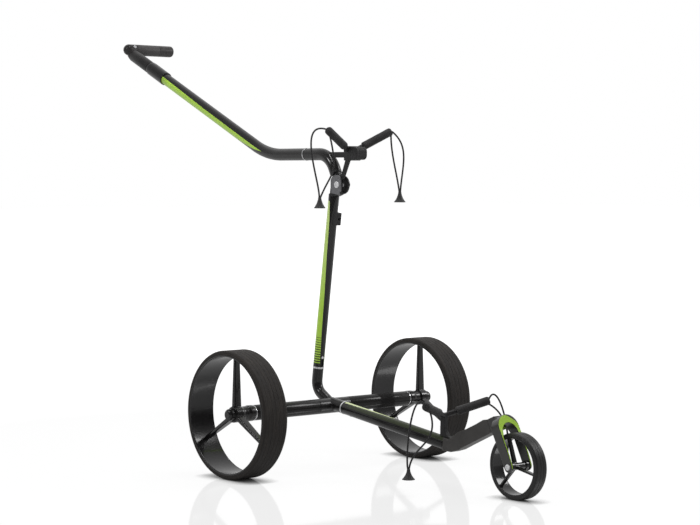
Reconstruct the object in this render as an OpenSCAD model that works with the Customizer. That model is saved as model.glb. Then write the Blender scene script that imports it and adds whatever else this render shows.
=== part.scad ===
// Three-wheeled electric golf trolley with a carbon tube frame.
// +X is forward, +Y left, +Z up. The origin is on the ground under the middle of the
// trolley's bounding box.

/* [Rear wheels] */
// Outside diameter of each rear tyre
rear_d = 290; // [286:1:294]
// Width of each rear tyre
rear_w = 66; // [62:1:68]
// Distance between the centre planes of the two rear wheels
track = 557; // [553:1:561]
// Thickness of the rear tyre's tread outside the rim
tyre_t = 10; // [9:0.5:11]

/* [Front wheel] */
// Outside diameter of the front tyre
front_d = 142; // [139:1:144]
// Width of the front tyre
front_w = 32; // [30:1:34]
// Distance from the rear axle to the front axle
wheelbase = 612; // [608:1:616]

/* [Tubes] */
// Outside diameter of the axle tube
axle_d = 35; // [34:0.5:36]
// Outside diameter of the upright frame tube
upright_d = 25; // [24:0.5:26]
// Outside diameter of the lower frame tube
lower_d = 29; // [28:0.5:30]
// Outside diameter of the handle tube
handle_d = 28.5; // [27.5:0.5:29.5]
// Wall thickness of the carbon tubes
wall = 2; // [1.6:0.1:2.2]
// Forward lean of the upright tube, in degrees
lean = 7.9; // [7:0.1:9]
// Downward slope of the lower tube, in degrees
slope = 7.8; // [7:0.1:8.5]
// Length of the upright tube
upright_len = 405; // [402:1:406]
// Length of the lower tube
lower_len = 345; // [343:1:346]

/* [Plug-in joints] */
// Length of each spigot inside its tube
spigot_len = 60; // [50:1:64]
// Distance from the tube's mouth to the snap button
button_at = 22.5; // [20:0.5:26]
// Radial running clearance between parts that move on each other
run = 0.06; // [0.03:0.01:0.1]

/* [Handle] */
// Height of the level part of the handle tube above the ground
level_z = 731.2; // [729:0.1:733]
// Upward slope of the long part of the handle tube, in degrees
rise = 24.8; // [24:0.1:25.5]
// Length of the grip, from its right end to the far end of the speed dial
grip_len = 146; // [140:1:150]
// Outside diameter of the grip
grip_d = 29; // [28:0.5:30]

/* [Bag brackets] */
// Outside diameter of the foam sleeves on the bag arms
sleeve_d = 19; // [17:0.5:20]
// Diameter of the elastic cords
cord_d = 4; // [3:0.5:4.5]

/* [Hidden] */

$fn = 64;
rear_r = rear_d/2;
front_r = front_d/2;
axle_r = axle_d/2;
axle_plug_r = axle_r - wall - 0.1;
upright_r = upright_d/2;
upright_bore_r = upright_r - wall;
lower_r = lower_d/2;
lower_bore_r = lower_r - wall;
handle_r = handle_d/2;
grip_r = grip_d/2;

rear_x = 78;                     // rear axle, ahead of the bounding box's middle
axle_z = 145;                    // rear axle, in the frame's coordinates
lift = rear_r - axle_z;          // the frame rides up with a bigger rear wheel
upright_mouth = [-49, 0, 233.5];
lower_mouth = [50, 0, 143.3];
fold_x = 26;                     // fold pivot
fold_z = 660;
fork_lean = 24;                  // backward lean of the front fork
pin_r = 4;                       // hinge bolt and front axle
pin_hole_r = pin_r + 0.05;
shaft_r = 6;                     // drive shafts

// ---------- places ----------
module tilt(origin, angle) translate(origin) rotate([0, angle, 0]) children();
// frame coordinates: X from the rear axle
module frame() translate([rear_x, 0, lift]) children();
// along a tube: Z runs from its mouth
module upright_axis() tilt(upright_mouth, lean) children();
module lower_axis() tilt(lower_mouth, 90 + slope) children();
module on_upright() frame() upright_axis() children();
module on_lower() frame() lower_axis() children();
module at_pivot() frame() translate([fold_x, 0, fold_z]) children();
// front axle at the origin, Z up the fork
module on_fork() tilt([rear_x + wheelbase, 0, front_r], -fork_lean) children();
// a rear wheel: its axis is Z, outwards, and its Y points up; side is -1 right, 1 left
module on_wheel(side) translate([rear_x, 0, rear_r]) mirror([0, side > 0 ? 1 : 0, 0])
  translate([0, -track/2, 0]) rotate([90, 0, 0]) children();
module both() {
  children();
  mirror([0, 1, 0]) children();
}
// both halves of the rear axle: Z runs inwards from y
module axle_pair(y) frame() both() translate([0, y, axle_z]) rotate([90, 0, 0]) children();
// turns +Z to a direction
module along(dir) rotate([0, acos(dir[2]/norm(dir)), atan2(dir[1], dir[0])]) children();

// a tilted part's own x and z as a point of an XZ outline
function tilted_xz(origin, angle, x, z) =
  [origin[0] + x*cos(angle) + z*sin(angle), origin[2] - x*sin(angle) + z*cos(angle)];
function upright_xz(x, z) = tilted_xz(upright_mouth, lean, x, z);
function lower_xz(x, z) = tilted_xz(lower_mouth, 90 + slope, x, z);
function fork_xz(x, z) = tilted_xz([wheelbase, 0, front_r - lift], -fork_lean, x, z);

// ---------- basic shapes ----------
// an XZ outline extruded from y0 to y1
module plate(y0, y1) translate([0, y1, 0]) rotate([90, 0, 0]) linear_extrude(y1 - y0) children();
// a cylinder along Y
module cyl_y(radius, y0, y1, x = 0, z = 0)
  translate([x, y1, z]) rotate([90, 0, 0]) cylinder(r = radius, h = y1 - y0);
module tube(outer, inner, height) difference() {
  cylinder(r = outer, h = height);
  translate([0, 0, -1]) cylinder(r = inner, h = height + 2);
}
function arc(centre, radius, from, to, steps = 6) =
  [for (i = [0:steps]) let (a = from + (to - from)*i/steps) centre + radius*[cos(a), sin(a)]];

// ---------- paths and sweeps ----------
function unit(v) = v/norm(v);
// the rounded corner between two straight lines
function bend(start, corner, end, radius, steps = 10) =
  let (back = unit(start - corner), ahead = unit(end - corner),
       half_angle = acos(back*ahead)/2, reach = radius/tan(half_angle),
       centre = corner + unit(back + ahead)*radius/sin(half_angle),
       first = unit(corner + back*reach - centre), last = unit(corner + ahead*reach - centre),
       turn = acos(first*last), side = unit(last - first*cos(turn)))
  [for (i = [0:steps]) centre + radius*(first*cos(turn*i/steps) + side*sin(turn*i/steps))];
function bezier(p, steps) = [for (i = [0:steps]) let (far = i/steps, near = 1 - far)
  p[0]*near*near*near + 3*p[1]*near*near*far + 3*p[2]*near*far*far + p[3]*far*far*far];
function tangent(path, i) = unit(path[min(i + 1, len(path) - 1)] - path[max(i - 1, 0)]);
// rings of points round a path that lies in a plane with the given normal
function rings(path, radius, sides, normal) =
  [for (i = [0:len(path) - 1]) let (across = cross(tangent(path, i), normal))
    for (k = [0:sides - 1])
      path[i] + radius*(normal*cos(360*k/sides) + across*sin(360*k/sides))];
// faces between successive rings whose points start at base
function skin(rows, sides, base = 0, flip = false) =
  [for (i = [0:rows - 2]) for (k = [0:sides - 1])
    let (a = base + i*sides + k, b = base + i*sides + (k + 1)%sides)
    flip ? [a, b, b + sides, a + sides] : [a, a + sides, b + sides, b]];
module swept_solid(points, sides, flip = false) {
  rows = len(points)/sides;
  up = [for (k = [0:sides - 1]) k];
  down = [for (k = [sides - 1:-1:0]) k];
  polyhedron(points, concat(
    [flip ? down : up],
    skin(rows, sides, 0, flip),
    [[for (k = flip ? up : down) (rows - 1)*sides + k]]), convexity = 6);
}
module round_bar(path, radius, sides, normal = [0, 1, 0])
  swept_solid(rings(path, radius, sides, normal), sides);
// a hollow bar along a path in the XZ plane
module pipe(path, outer, inner) {
  sides = 32;
  rows = len(path);
  base = rows*sides;             // first point of the inner skin
  last = base - sides;           // first point of the last ring
  polyhedron(
    concat(rings(path, outer, sides, [0, 1, 0]), rings(path, inner, sides, [0, 1, 0])),
    concat(
      skin(rows, sides),
      skin(rows, sides, base, true),
      [for (k = [0:sides - 1]) let (next = (k + 1)%sides) [k, next, base + next, base + k]],
      [for (k = [0:sides - 1]) let (a = last + k, b = last + (k + 1)%sides)
        [a, base + a, base + b, b]]),
    convexity = 6);
}
module coil(radius, height, turns, wire_r) {
  sides = 8;
  steps = turns*12;
  swept_solid([for (i = [0:steps]) let (out = [cos(30*i), sin(30*i), 0])
    for (k = [0:sides - 1]) radius*out + [0, 0, height*i/steps]
      + wire_r*(out*cos(360*k/sides) + [0, 0, 1]*sin(360*k/sides))], sides, true);
}

// ---------- plug-in joints ----------
// spigot with a flange at the tube's mouth, a shank below it and a hole for the snap button
module spigot(tube_r, shank_r, hole_r) difference() {
  union() {
    translate([0, 0, -24]) cylinder(r = shank_r, h = 20);
    translate([0, 0, -4.5]) cylinder(r = tube_r + 0.6, h = 4.4);
    translate([0, 0, -0.2]) cylinder(r = tube_r - wall - run, h = spigot_len + 0.2);
  }
  translate([0, 0, -30]) cylinder(r = hole_r, h = 100);
  translate([5, 0, button_at]) rotate([0, 90, 0]) cylinder(r = 3.3, h = 10);
}
// frame tube, slotted from its mouth to the round hole that takes the snap button
module socket_tube(radius, length) difference() {
  tube(radius, radius - wall, length);
  translate([0, -3.5, -1]) cube([20, 7, button_at + 1]);
  translate([0, 0, button_at]) rotate([0, 90, 0]) cylinder(r = 3.5, h = 20);
}
// leaf spring behind a snap button, as it sits with the button pressed
module leaf() translate([0, 0, button_at - 1.4])
  rotate([90, 0, 0]) translate([0, 0, -2]) linear_extrude(4)
    polygon([[-7.2, -12], [-6.4, -12], [-6.0, 8], [-4.6, 11], [-2, 8], [0.7, 1],
      [1.7, 1], [1.7, 1.8], [1.1, 1.8], [-1.3, 8.6], [-4.4, 12.4], [-6.9, 8.6]]);
// button on a foot, with a chamfered tip
module snap_button(foot_at, tip_at) translate([0, 0, button_at]) rotate([0, 90, 0]) {
  translate([0, 0, foot_at]) cylinder(r = 3.9, h = 1.5);
  translate([0, 0, foot_at + 1]) cylinder(r = 3.25, h = tip_at - foot_at - 1.8);
  translate([0, 0, tip_at - 1]) cylinder(r1 = 3.25, r2 = 2.4, h = 1);
}

module upper_spigot() color("#d0d0d2") on_upright() spigot(upright_r, upright_bore_r - 0.2, 8);
module front_spigot() color("#d0d0d2") on_lower() spigot(lower_r, 9.9, 9);
module spigot_connector() color("#303034") on_upright()
  translate([0, 0, 48]) cylinder(r = 7.9, h = 12);
module snap_springs() color("#b8b8b8") {
  on_upright() leaf();
  on_lower() leaf();
}
module upper_snap_button() color("#e0e0e0") on_upright() snap_button(5.3, upright_r + 1);
module front_snap_button() color("#e0e0e0") on_lower() snap_button(6.4, lower_r + 1);

// ---------- axle and chassis ----------
lug_half = 46;                   // half width of the centre lug
axle_half = 232;                 // half length of the axle without its end flanges
bearing_r = 12;
stub_dir = unit([-56, 0, 33]);   // direction of the rear boss
stub_root = [0, 0, 147];
socket_at = [0, 33, 141];        // battery socket, which faces back
upright_dir = [sin(lean), 0, cos(lean)];
stub_bend = bend(stub_root, upright_mouth - 53.5*upright_dir, upright_mouth, 33);
// from a distance along the rear boss, round the bend, to a distance past the upright's mouth
function stub_path(from, to) =
  concat([stub_root + stub_dir*from], stub_bend, [upright_mouth + to*upright_dir]);

module axle_tubes() color("#2b292b") axle_pair(axle_half - 0.1)
  tube(axle_r, axle_r - wall, axle_half - lug_half - 0.2);
// lug with a plug into each axle tube, a boss forward and a boss back
module center_lug() color("#242326") frame() difference() {
  union() {
    cyl_y(axle_r, -lug_half, lug_half, 0, axle_z);
    cyl_y(axle_plug_r, -lug_half - 24, lug_half + 24, 0, axle_z);
    lower_axis() translate([0, 0, -52]) cylinder(r = lower_r, h = 47.4);
    translate(stub_root) along(stub_dir) cylinder(r = upright_r, h = 30);
  }
  cyl_y(11, -lug_half - 30, lug_half + 30, 0, axle_z);
  lower_axis() translate([0, 0, -40]) cylinder(r = 10, h = 50);
  translate(stub_root) along(stub_dir) translate([0, 0, 8]) cylinder(r = 10, h = 30);
  translate(socket_at - [8, 0, 0]) rotate([0, -90, 0]) cylinder(r = 8.1, h = 20);
}
module rear_stub() color("#242326") frame()
  pipe(stub_path(30.2, -4.6), upright_r, upright_bore_r);
module axle_ends() color("#c4c4c8") axle_pair(axle_half) difference() {
  union() {
    translate([0, 0, -3]) cylinder(r = axle_r, h = 3);
    translate([0, 0, -0.1]) cylinder(r = axle_plug_r, h = 24.1);
  }
  translate([0, 0, -5]) cylinder(r = 7.5, h = 40);
  translate([0, 0, 4]) cylinder(r = bearing_r + 0.05, h = 30);
}
module axle_bearings() color("silver") axle_pair(axle_half - 4.1)
  tube(bearing_r, shaft_r + run/2, 6);
module motors() color("#5a5a60") axle_pair(149.9) cylinder(r = 14, h = 78.8);
module gearboxes() color("#8a8a90") axle_pair(206) difference() {
  cylinder(r = axle_r - wall - 0.2, h = 56);
  translate([0, 0, -1]) cylinder(r = shaft_r + run, h = 23);
}
// circuit board with three parts on it
module motor_controller() color("#1f6b3a") frame() {
  translate([-8, -38, 144]) cube([16, 60, 1.6]);
  translate([-5, -30, 145.7]) cube([10, 12, 3]);
  translate([-5, -8, 145.7]) cube([10, 16, 4]);
  translate([-5, 12, 145.7]) cube([4, 6, 5]);
}
// two wires to each motor, and one up through the rear stub
module axle_wiring() color("#b03028") frame() {
  for (span = [[-70.8, -38.1], [24, 70.8]])
    for (x = [-3, 3])
      cyl_y(1.1, span[0], span[1], x, 142);
  translate([0, 4.6, 0]) round_bar(stub_path(14, 47.8), 1.8, 12);
}
module battery_socket() color("#202020") frame() translate(socket_at) rotate([0, -90, 0])
  difference() {
    union() {
      translate([0, 0, 11.5]) cylinder(r = 8, h = 7);
      translate([0, 0, 18]) cylinder(r = 10, h = 5);
    }
    translate([0, 0, 13]) cylinder(r = 6, h = 20);
  }

// ---------- wheels ----------
rim_t = 3;                       // thickness of the rear rim's barrel
rim_in = rear_r - rim_t - tyre_t;
shaft_in = 186;                  // distance of a drive shaft's inner end from the middle
hex_r = 9.1;                     // hexagon that drives the rim

// tyre with lips over the rim's edges and grooves round its tread
module tyre(radius, width, rim_inner, rim_thick, shoulder, grooves, pitch) difference() {
  seat = rim_inner + rim_thick + 0.05;
  bead = rim_inner + 0.4;
  edge = width/2;
  inside = edge - 1.9;
  rotate_extrude($fn = 128) polygon(concat(
    [[bead, -edge]],
    arc([radius - shoulder, -edge + shoulder], shoulder, -90, 0),
    arc([radius - shoulder, edge - shoulder], shoulder, 0, 90),
    [[bead, edge], [bead, inside], [seat, inside], [seat, -inside], [bead, -inside]]));
  for (i = [0:grooves - 1])
    translate([0, 0, (i - (grooves - 1)/2)*pitch - 0.8])
      rotate_extrude($fn = 128) translate([radius - 1, 0]) square([4, 1.6]);
}
module barrel(inner, thick, edge) rotate_extrude($fn = 128)
  polygon([[inner, -edge], [inner + thick, -edge], [inner + thick, edge], [inner, edge]]);
// spoke along Y; each pair holds the inner and the outer value
module spoke(radii, widths, depths) intersection() {
  translate([0, 0, -20]) linear_extrude(40)
    polygon([[-widths[0]/2, radii[0]], [widths[0]/2, radii[0]],
      [widths[1]/2, radii[1]], [-widths[1]/2, radii[1]]]);
  translate([-40, 0, 0]) rotate([90, 0, 90]) linear_extrude(80)
    polygon([[radii[0], -depths[0]/2], [radii[1], -depths[1]/2],
      [radii[1], depths[1]/2], [radii[0], depths[0]/2]]);
}
module rear_rim(side) on_wheel(side) difference() {
  union() {
    barrel(rim_in, rim_t, 31);
    for (a = [0:120:240])
      rotate(a) spoke([8, rim_in + 1.5], [11, 6.5], [22, 15]);
    translate([0, 0, -43]) cylinder(r = 18.2, h = 55.5);
  }
  translate([0, 0, -50]) cylinder(r = shaft_r + run, h = 60);
  translate([0, 0, -44]) cylinder(r = hex_r + 0.2, h = 11.2, $fn = 6);
  translate([0, 0, 5.5]) cylinder(r = 13.6, h = 10);
}
module rear_tyre(side) on_wheel(side) tyre(rear_r, rear_w, rim_in, rim_t, 6, 5, 10);
module drive_shaft(side) on_wheel(side) {
  translate([0, 0, shaft_in - track/2]) cylinder(r = shaft_r, h = 4 + track/2 - shaft_in);
  translate([0, 0, -42.9]) cylinder(r = hex_r, h = 9.6, $fn = 6);
}
module hub_cap(side) on_wheel(side) difference() {
  rotate_extrude($fn = 64)
    polygon(concat([[0, 9.5], [13.5, 9.5], [13.5, 20]], arc([6, 20], 7.5, 0, 90, 8), [[0, 27.5]]));
  translate([0, 0, 9]) cylinder(r = 10, h = 7.2);
}
module cap_spring(side) on_wheel(side) translate([0, 0, 6.4]) coil(8, 5.6, 3, 0.7);

module right_drive_shaft() color("silver") drive_shaft(-1);
module right_rim() color("#1e1d1f") rear_rim(-1);
module right_tyre() color("#3e3a3a") rear_tyre(-1);
module right_cap_spring() color("silver") cap_spring(-1);
module right_hub_cap() color("#1e1d1f") hub_cap(-1);
module left_drive_shaft() color("silver") drive_shaft(1);
module left_rim() color("#1e1d1f") rear_rim(1);
module left_tyre() color("#3e3a3a") rear_tyre(1);
module left_cap_spring() color("silver") cap_spring(1);
module left_hub_cap() color("#1e1d1f") hub_cap(1);

// ---------- upright and fold hinge ----------
top = upright_len;

module upright_tube() color("#9bc83c") on_upright() socket_tube(upright_r, upright_len);
// right cheek, bridge and plug of the fold hinge
module hinge_fork() color("#77777b") frame() difference() {
  union() {
    plate(-7.5, -3.2) union() {
      intersection() {
        translate([fold_x - 4, fold_z + 1.5]) circle(r = 21.7);
        translate([fold_x - 23, fold_z - 30]) square([34.2, 60]);
      }
      polygon([upright_xz(-7, top), upright_xz(12, top), upright_xz(22, top + 12),
        upright_xz(20, top + 22), upright_xz(-7, top + 16)]);
    }
    plate(-7.5, 8.9)
      polygon([upright_xz(-7, top + 0.2), upright_xz(12.3, top + 0.2), upright_xz(24, top + 6),
        upright_xz(24, top + 13.5), upright_xz(-7, top + 7)]);
    upright_axis() {
      translate([0, 0, top]) cylinder(r = upright_r, h = 4);
      translate([0, 0, top - 22]) cylinder(r = upright_bore_r - 0.1, h = 23);
    }
  }
  cyl_y(pin_hole_r, -20, 20, fold_x, fold_z);
  cyl_y(12.2, -3.1, 10, fold_x, fold_z);
}
// disc on the left of the hinge
module hinge_disc() color("#1c1c1e") at_pivot() difference() {
  cyl_y(21.8, 9, 14);
  cyl_y(pin_hole_r, 0, 30);
}
// pivot bolt with its head on the right, and the spacer on the right of the disc
module hinge_bolt() color("#c8c8cc") at_pivot() {
  cyl_y(7.8, -10.6, -7.55);
  cyl_y(pin_r, -8, 24.5);
  difference() {
    cyl_y(6, 3.7, 8.95);
    cyl_y(pin_r - 0.1, 3, 10);
  }
}
// knob on the bolt's left end, with six finger hollows
module clamp_knob() color("#1c1c1e") at_pivot() difference() {
  union() {
    cyl_y(8, 14.1, 18);
    cyl_y(11.6, 17, 23.4);
  }
  for (a = [30:60:330])
    rotate([0, a, 0]) cyl_y(3.6, 16, 30, 13.6, 0);
  cyl_y(pin_r + run, 10, 40);
}
// block on the front of the upright, with a round hole in its face
module accessory_block() color("#1c1c1e") on_upright() difference() {
  translate([6, -6.5, 339]) cube([20, 13, 29]);
  translate([0, 0, 320]) cylinder(r = upright_r + 0.05, h = 60);
  translate([13.5, 0, 353.5]) rotate([0, 90, 0]) cylinder(r = 3.1, h = 20);
}
// plug above the upper spigot, and the cable up from it
module frame_cable() color("#303034") on_upright() {
  translate([0, 0, spigot_len + 2]) cylinder(r = upright_bore_r - 0.3, h = 12);
  translate([-3, 0, spigot_len + 13.9]) cylinder(r = 2.4, h = top - spigot_len - 39);
}

// ---------- handle ----------
handle_plug_r = handle_r - 2.1;
handle_fit_r = handle_r + 0.15;  // bore of what slides over the tube
foot = [12, 0, 690];             // foot of the handle tube
foot_dir = unit([-9, 0, 18]);
low_corner = foot + foot_dir*(level_z - foot[2])/foot_dir[2];
// the rising part's axis passes through x = -625, z = 908.2
high_corner = [-625 + (908.2 - level_z)/tan(rise), 0, level_z];
rise_dir = [-cos(rise), 0, sin(rise)];
// point at a given x on the rising part
function rise_point(x) = high_corner + rise_dir*((high_corner[0] - x)/cos(rise));
module on_rise(x) translate(rise_point(x)) along(rise_dir) children();
handle_end = rise_point(-812);
function low_bend(steps) = bend(foot, low_corner, high_corner, 60, steps);
function high_bend(steps) = bend(low_corner, high_corner, handle_end, 240, steps);

grip_x = -824.5;                 // axis of the grip, along Y
grip_z = 1010;
core_r = 9;                      // core inside the grip and the dial
grip_from = 14;                  // right end of the grip sleeve's seat
dial_end = grip_len - 18;        // left end of the dial
module grip_cyl(radius, y0, y1) cyl_y(radius, y0, y1, grip_x, grip_z);
module at_button() translate([grip_x, 4, grip_z]) rotate([0, 55, 0]) children();

module handle_tube() color("#2b292b") frame()
  pipe(concat([foot], low_bend(14), high_bend(8), [handle_end]), handle_r, handle_r - 1.8);
module handle_ring() color("#c8c8cc") frame()
  translate([-92, 0, level_z]) rotate([0, -90, 0]) tube(handle_r + 0.6, handle_fit_r, 3);
module handle_collar() color("#1c1c1e") frame() on_rise(-667) difference() {
  tube(handle_r + 2.8, handle_fit_r, 74);
  translate([0, 0, -1]) cylinder(r1 = handle_r + 1.2, r2 = handle_r, h = 2.2);
}
module handle_sleeve() color("#29282a") frame() on_rise(-735)
  translate([0, 0, 0.3]) tube(handle_r + 1.4, handle_fit_r, 83.5);
// elbow: plug into the tube, neck, and the core that carries the grip and the dial
module handle_head() color("#232224") frame() difference() {
  neck = rise_point(-814.3);
  union() {
    on_rise(-797) cylinder(r = handle_plug_r, h = 21);
    on_rise(-812.2) cylinder(r = handle_r, h = 5);
    translate(neck) along([grip_x - 3, 0, grip_z - 6] - neck)
      cylinder(r1 = handle_r + 0.6, r2 = grip_r - 1.5, h = 10);
    grip_cyl(grip_r, -8, grip_from);
    translate([grip_x, -8, grip_z]) sphere(r = grip_r);
    grip_cyl(core_r, grip_from - 1, 100);
  }
  at_button() {
    translate([0, 0, 8]) cylinder(r = 4.6, h = 20);
    translate([0, 0, 5]) cylinder(r = 3, h = 20);
  }
  grip_cyl(3, 16, 110);
  // clears all but the core from the grip's length
  difference() {
    translate([grip_x - 60, grip_from + 0.02, grip_z - 40]) cube([120, 80, 80]);
    grip_cyl(core_r, 10, 120);
  }
}
module grip_sleeve() color("#29282a") frame() difference() {
  grip_cyl(grip_r, grip_from + 0.1, dial_end - 45);
  grip_cyl(core_r + 0.1, 0, 150);
}
module speed_dial() color("#1c1c1e") frame() difference() {
  translate([grip_x, dial_end, grip_z]) rotate([90, 0, 0]) rotate_extrude($fn = 64)
    polygon(concat([[0, 0]], arc([grip_r - 5, 5], 5, -90, 0), [[grip_r, 44.8], [0, 44.8]]));
  grip_cyl(core_r + run, 0, 100.5);
}
module power_button() color("#b9b9bd") frame() at_button() {
  translate([0, 0, 10.6]) cylinder(r = 4.5, h = 4.6);
  translate([0, 0, 7]) cylinder(r = 2.9, h = 4);
}
// cable inside the handle tube, from just past its foot
module handle_cable() color("#303034") frame() {
  low = low_bend(10);
  round_bar(concat([for (i = [1:10]) low[i]], high_bend(6), [rise_point(-794)]), 2.4, 12);
}
// moving half of the fold hinge, with a plug into the handle tube
module hinge_tongue() color("#1c1c1e") frame() difference() {
  foot_edge = [[foot[0] + 12, foot[2] + 3], [foot[0] - 9, foot[2] - 6]];
  union() {
    plate(-3, 0.2) union() {
      translate([fold_x, fold_z]) circle(r = 11);
      polygon(concat([[fold_x - 10.6, fold_z - 2], [fold_x + 9, fold_z + 6]], foot_edge));
    }
    intersection() {
      plate(-3, 6)
        polygon(concat([[fold_x - 14, fold_z + 15], [fold_x + 1, fold_z + 22]], foot_edge));
      translate([fold_x - 40, -3, fold_z]) cube([80, 9, 60]);
    }
    translate(foot - foot_dir*5.1) along(foot_dir) cylinder(r = handle_r, h = 5);
    translate(foot - foot_dir) along(foot_dir) cylinder(r = handle_plug_r, h = 13);
  }
  cyl_y(pin_r + run, -20, 20, fold_x, fold_z);
}

// ---------- bag brackets ----------
arm_r = 4;
upper_root = [72, 12, 740];      // left arms; the right ones mirror them
upper_tip = [98.6, 95, 784];
lower_root = [386, 5, 158.5];
lower_tip = [427, 95.5, 187.5];
upper_cord_x = 99.4;
lower_cord_x = lower_tip[0];
// each cord: four Bezier control points [y, z]
upper_curves = [
  [[-98, 785], [-190, 807], [-118, 666], [-121.1, 631]],
  [[-92, 777], [-62, 679], [-85, 694], [-118.1, 631]],
  [[94, 777], [94, 730], [113, 687], [120.6, 643]],
  [[98, 783], [154, 750], [129, 703], [123.6, 643]]];
lower_curves = [
  [[-94, 190], [-139, 239], [-154, 74], [-145.1, 56.5]],
  [[-84, 180], [-48, 101], [-134, 111], [-142.1, 56.5]],
  [[94, 189], [118, 235], [166, 122], [151.5, 57.5]],
  [[92, 180], [139, 161], [168, 110], [148.5, 57.5]]];

// a rod between two fractions of the way from root to tip
module arm(root, tip, radius, from, to)
  translate(root + (tip - root)*from) along(tip - root)
    cylinder(r = radius, h = norm(tip - root)*(to - from));
module arm_pair(root, tip, boss_r, boss_from, boss_to) both() {
  arm(root, tip, arm_r, 0, 0.92);
  arm(root, tip, boss_r, boss_from, boss_to);
}
module sleeve_pair(root, tip, from) both() difference() {
  union() {
    arm(root, tip, sleeve_d/2, from, 0.97);
    arm(root, tip, sleeve_d/2 - 1.5, 0.96, 1.0);
  }
  arm(root, tip, arm_r + 0.1, from - 0.1, 0.93);
}
module cords(x, curves)
  for (curve = curves)
    round_bar(bezier([for (p = curve) [x, p[0], p[1]]], 14), cord_d/2, 8, [1, 0, 0]);
// hollow tapered toggles, wide end down, at [y, z] places
module toggles(x, places, height, radius)
  for (place = places)
    translate([x, place[0], place[1]]) difference() {
      union() {
        translate([0, 0, height - 2]) cylinder(r = 3.6, h = 5);
        cylinder(r1 = radius, r2 = 3.6, h = height - 2);
      }
      translate([0, 0, -1]) cylinder(r1 = radius - 1, r2 = 1, h = height - 5);
    }

// head block, bar over the handle tube, and struts to an eye on the fold pivot
module upper_bracket() color("#1c1c1e") frame() difference() {
  union() {
    plate(-15, 15) polygon(concat([[59, 716]], arc([62, 745], 4, 180, 90, 4),
      arc([80, 745], 4, 90, 0, 4), [[84, 716]]));
    plate(-5, 5) polygon([[-6, 723], [60, 723], [60, 736], [-12, 736]]);
    plate(0.4, 3.4) translate([fold_x, fold_z]) circle(r = 9);
    plate(0.4, 3.4) polygon([[fold_x - 5, fold_z + 6], [fold_x + 8.6, fold_z + 2],
      [62, 718], [51, 720]]);
    plate(-3, 3.4) polygon([[fold_x + 6.5, fold_z + 15], [fold_x + 15, fold_z + 12.5],
      [64, 718], [51, 720]]);
    arm_pair(upper_root, upper_tip, 6.5, -0.05, 0.17);
  }
  cyl_y(pin_r + run, -20, 20, fold_x, fold_z);
  // clears the handle tube's lower bend and its level part
  cyl_y(74.45, -6, 6, -45.6, 671.2);
  cyl_y(handle_r + 0.3, -6, 6, -20, level_z + 0.2);
}
module upper_bag_pad() color("#2a2a2c") frame() plate(-16, 16)
  polygon(concat([[84.2, 717.5]], arc([96, 727.5], 10, -90, 0, 5),
    arc([96, 737.5], 10, 0, 90, 5), [[84.2, 747.5]]));
module upper_arm_sleeves() color("#2f2e30") frame() sleeve_pair(upper_root, upper_tip, 0.2);
module upper_cords() color("#151515") frame() cords(upper_cord_x, upper_curves);
module upper_toggles() color("#1c1c1e") frame()
  toggles(upper_cord_x, [[-119.6, 607.5], [122.1, 619.5]], 22, 13.6);
// post on the lower tube and wing beam
module lower_bracket() color("#1c1c1e") frame() difference() {
  union() {
    plate(-5.5, 5.5) polygon([[376, 110], [377.5, 154], [380, 163], [390, 163], [391, 156],
      [389.5, 128], [393, 119], [401, 113], [409, 109.5], [399, 100], [376, 104]]);
    arm_pair(lower_root, lower_tip, 5.5, -0.03, 0.2);
  }
  lower_axis() translate([0, 0, 280]) cylinder(r = lower_r + 0.05, h = 80);
  plate(-20, 20) polygon([[393, 60], [393, 111.8], [395.5, 111], [408, 106.5],
    [441, 127], [441, 60]]);
}
module lower_arm_sleeves() color("#2f2e30") frame() sleeve_pair(lower_root, lower_tip, 0.24);
module lower_cords() color("#151515") frame() cords(lower_cord_x, lower_curves);
module lower_toggles() color("#1c1c1e") frame()
  toggles(lower_cord_x, [[-143.6, 34.5], [150, 35.5]], 20, 13.8);

// ---------- front frame ----------
front_rim_t = 2.5;
front_rim_in = front_r - 11;
front_bearing_r = 8;

module lower_tube() color("#2c3322") on_lower() socket_tube(lower_r, lower_len);
// beam from the lower tube to the top of the fork, with a plug into the tube
module wing_beam() color("#3a3839") frame() union() {
  plate(-13, 13) polygon([lower_xz(lower_r, lower_len + 0.1), [418, 81], [440, 87.5],
    [466, 100], fork_xz(-36.1, 87), fork_xz(-36.1, 117), [518, 161], [496.5, 150],
    [466, 136.2], [441, 126.8], [408, 106.3], lower_xz(-lower_r, lower_len + 0.1)]);
  lower_axis() translate([0, 0, lower_len - 24]) cylinder(r = lower_bore_r - 0.05, h = 26);
}
// side outline crossed with an arched front outline, and the block behind the crown
module front_fork() color("#9bc83c") on_fork() difference() {
  union() {
    intersection() {
      plate(-30, 30) union() {
        circle(r = 11.5);
        polygon([[-11.5, 0], [11.5, 0], [12, 24], [8, 84], [8, 113], [-16, 113],
          [-16, 84], [-12.5, 24]]);
      }
      translate([-30, 0, 0]) rotate([90, 0, 90]) linear_extrude(60) difference() {
        union() {
          translate([0, 83]) circle(r = 30);
          translate([-30, -12]) square([60, 95]);
        }
        union() {
          translate([0, 73]) circle(r = 21.5);
          polygon([[-21.5, 73], [21.5, 73], [26.5, 62], [26.5, -20], [-26.5, -20],
            [-26.5, 62]]);
        }
      }
    }
    translate([-36, -13, 86.5]) cube([21, 26, 30.5]);
  }
  cyl_y(pin_hole_r, -40, 40);
}
module front_axle() color("#c8c8cc") on_fork() {
  cyl_y(pin_r, -32, 33);
  cyl_y(6.4, -33.4, -30.05);
  cyl_y(6.4, 30.05, 35);
}
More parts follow.
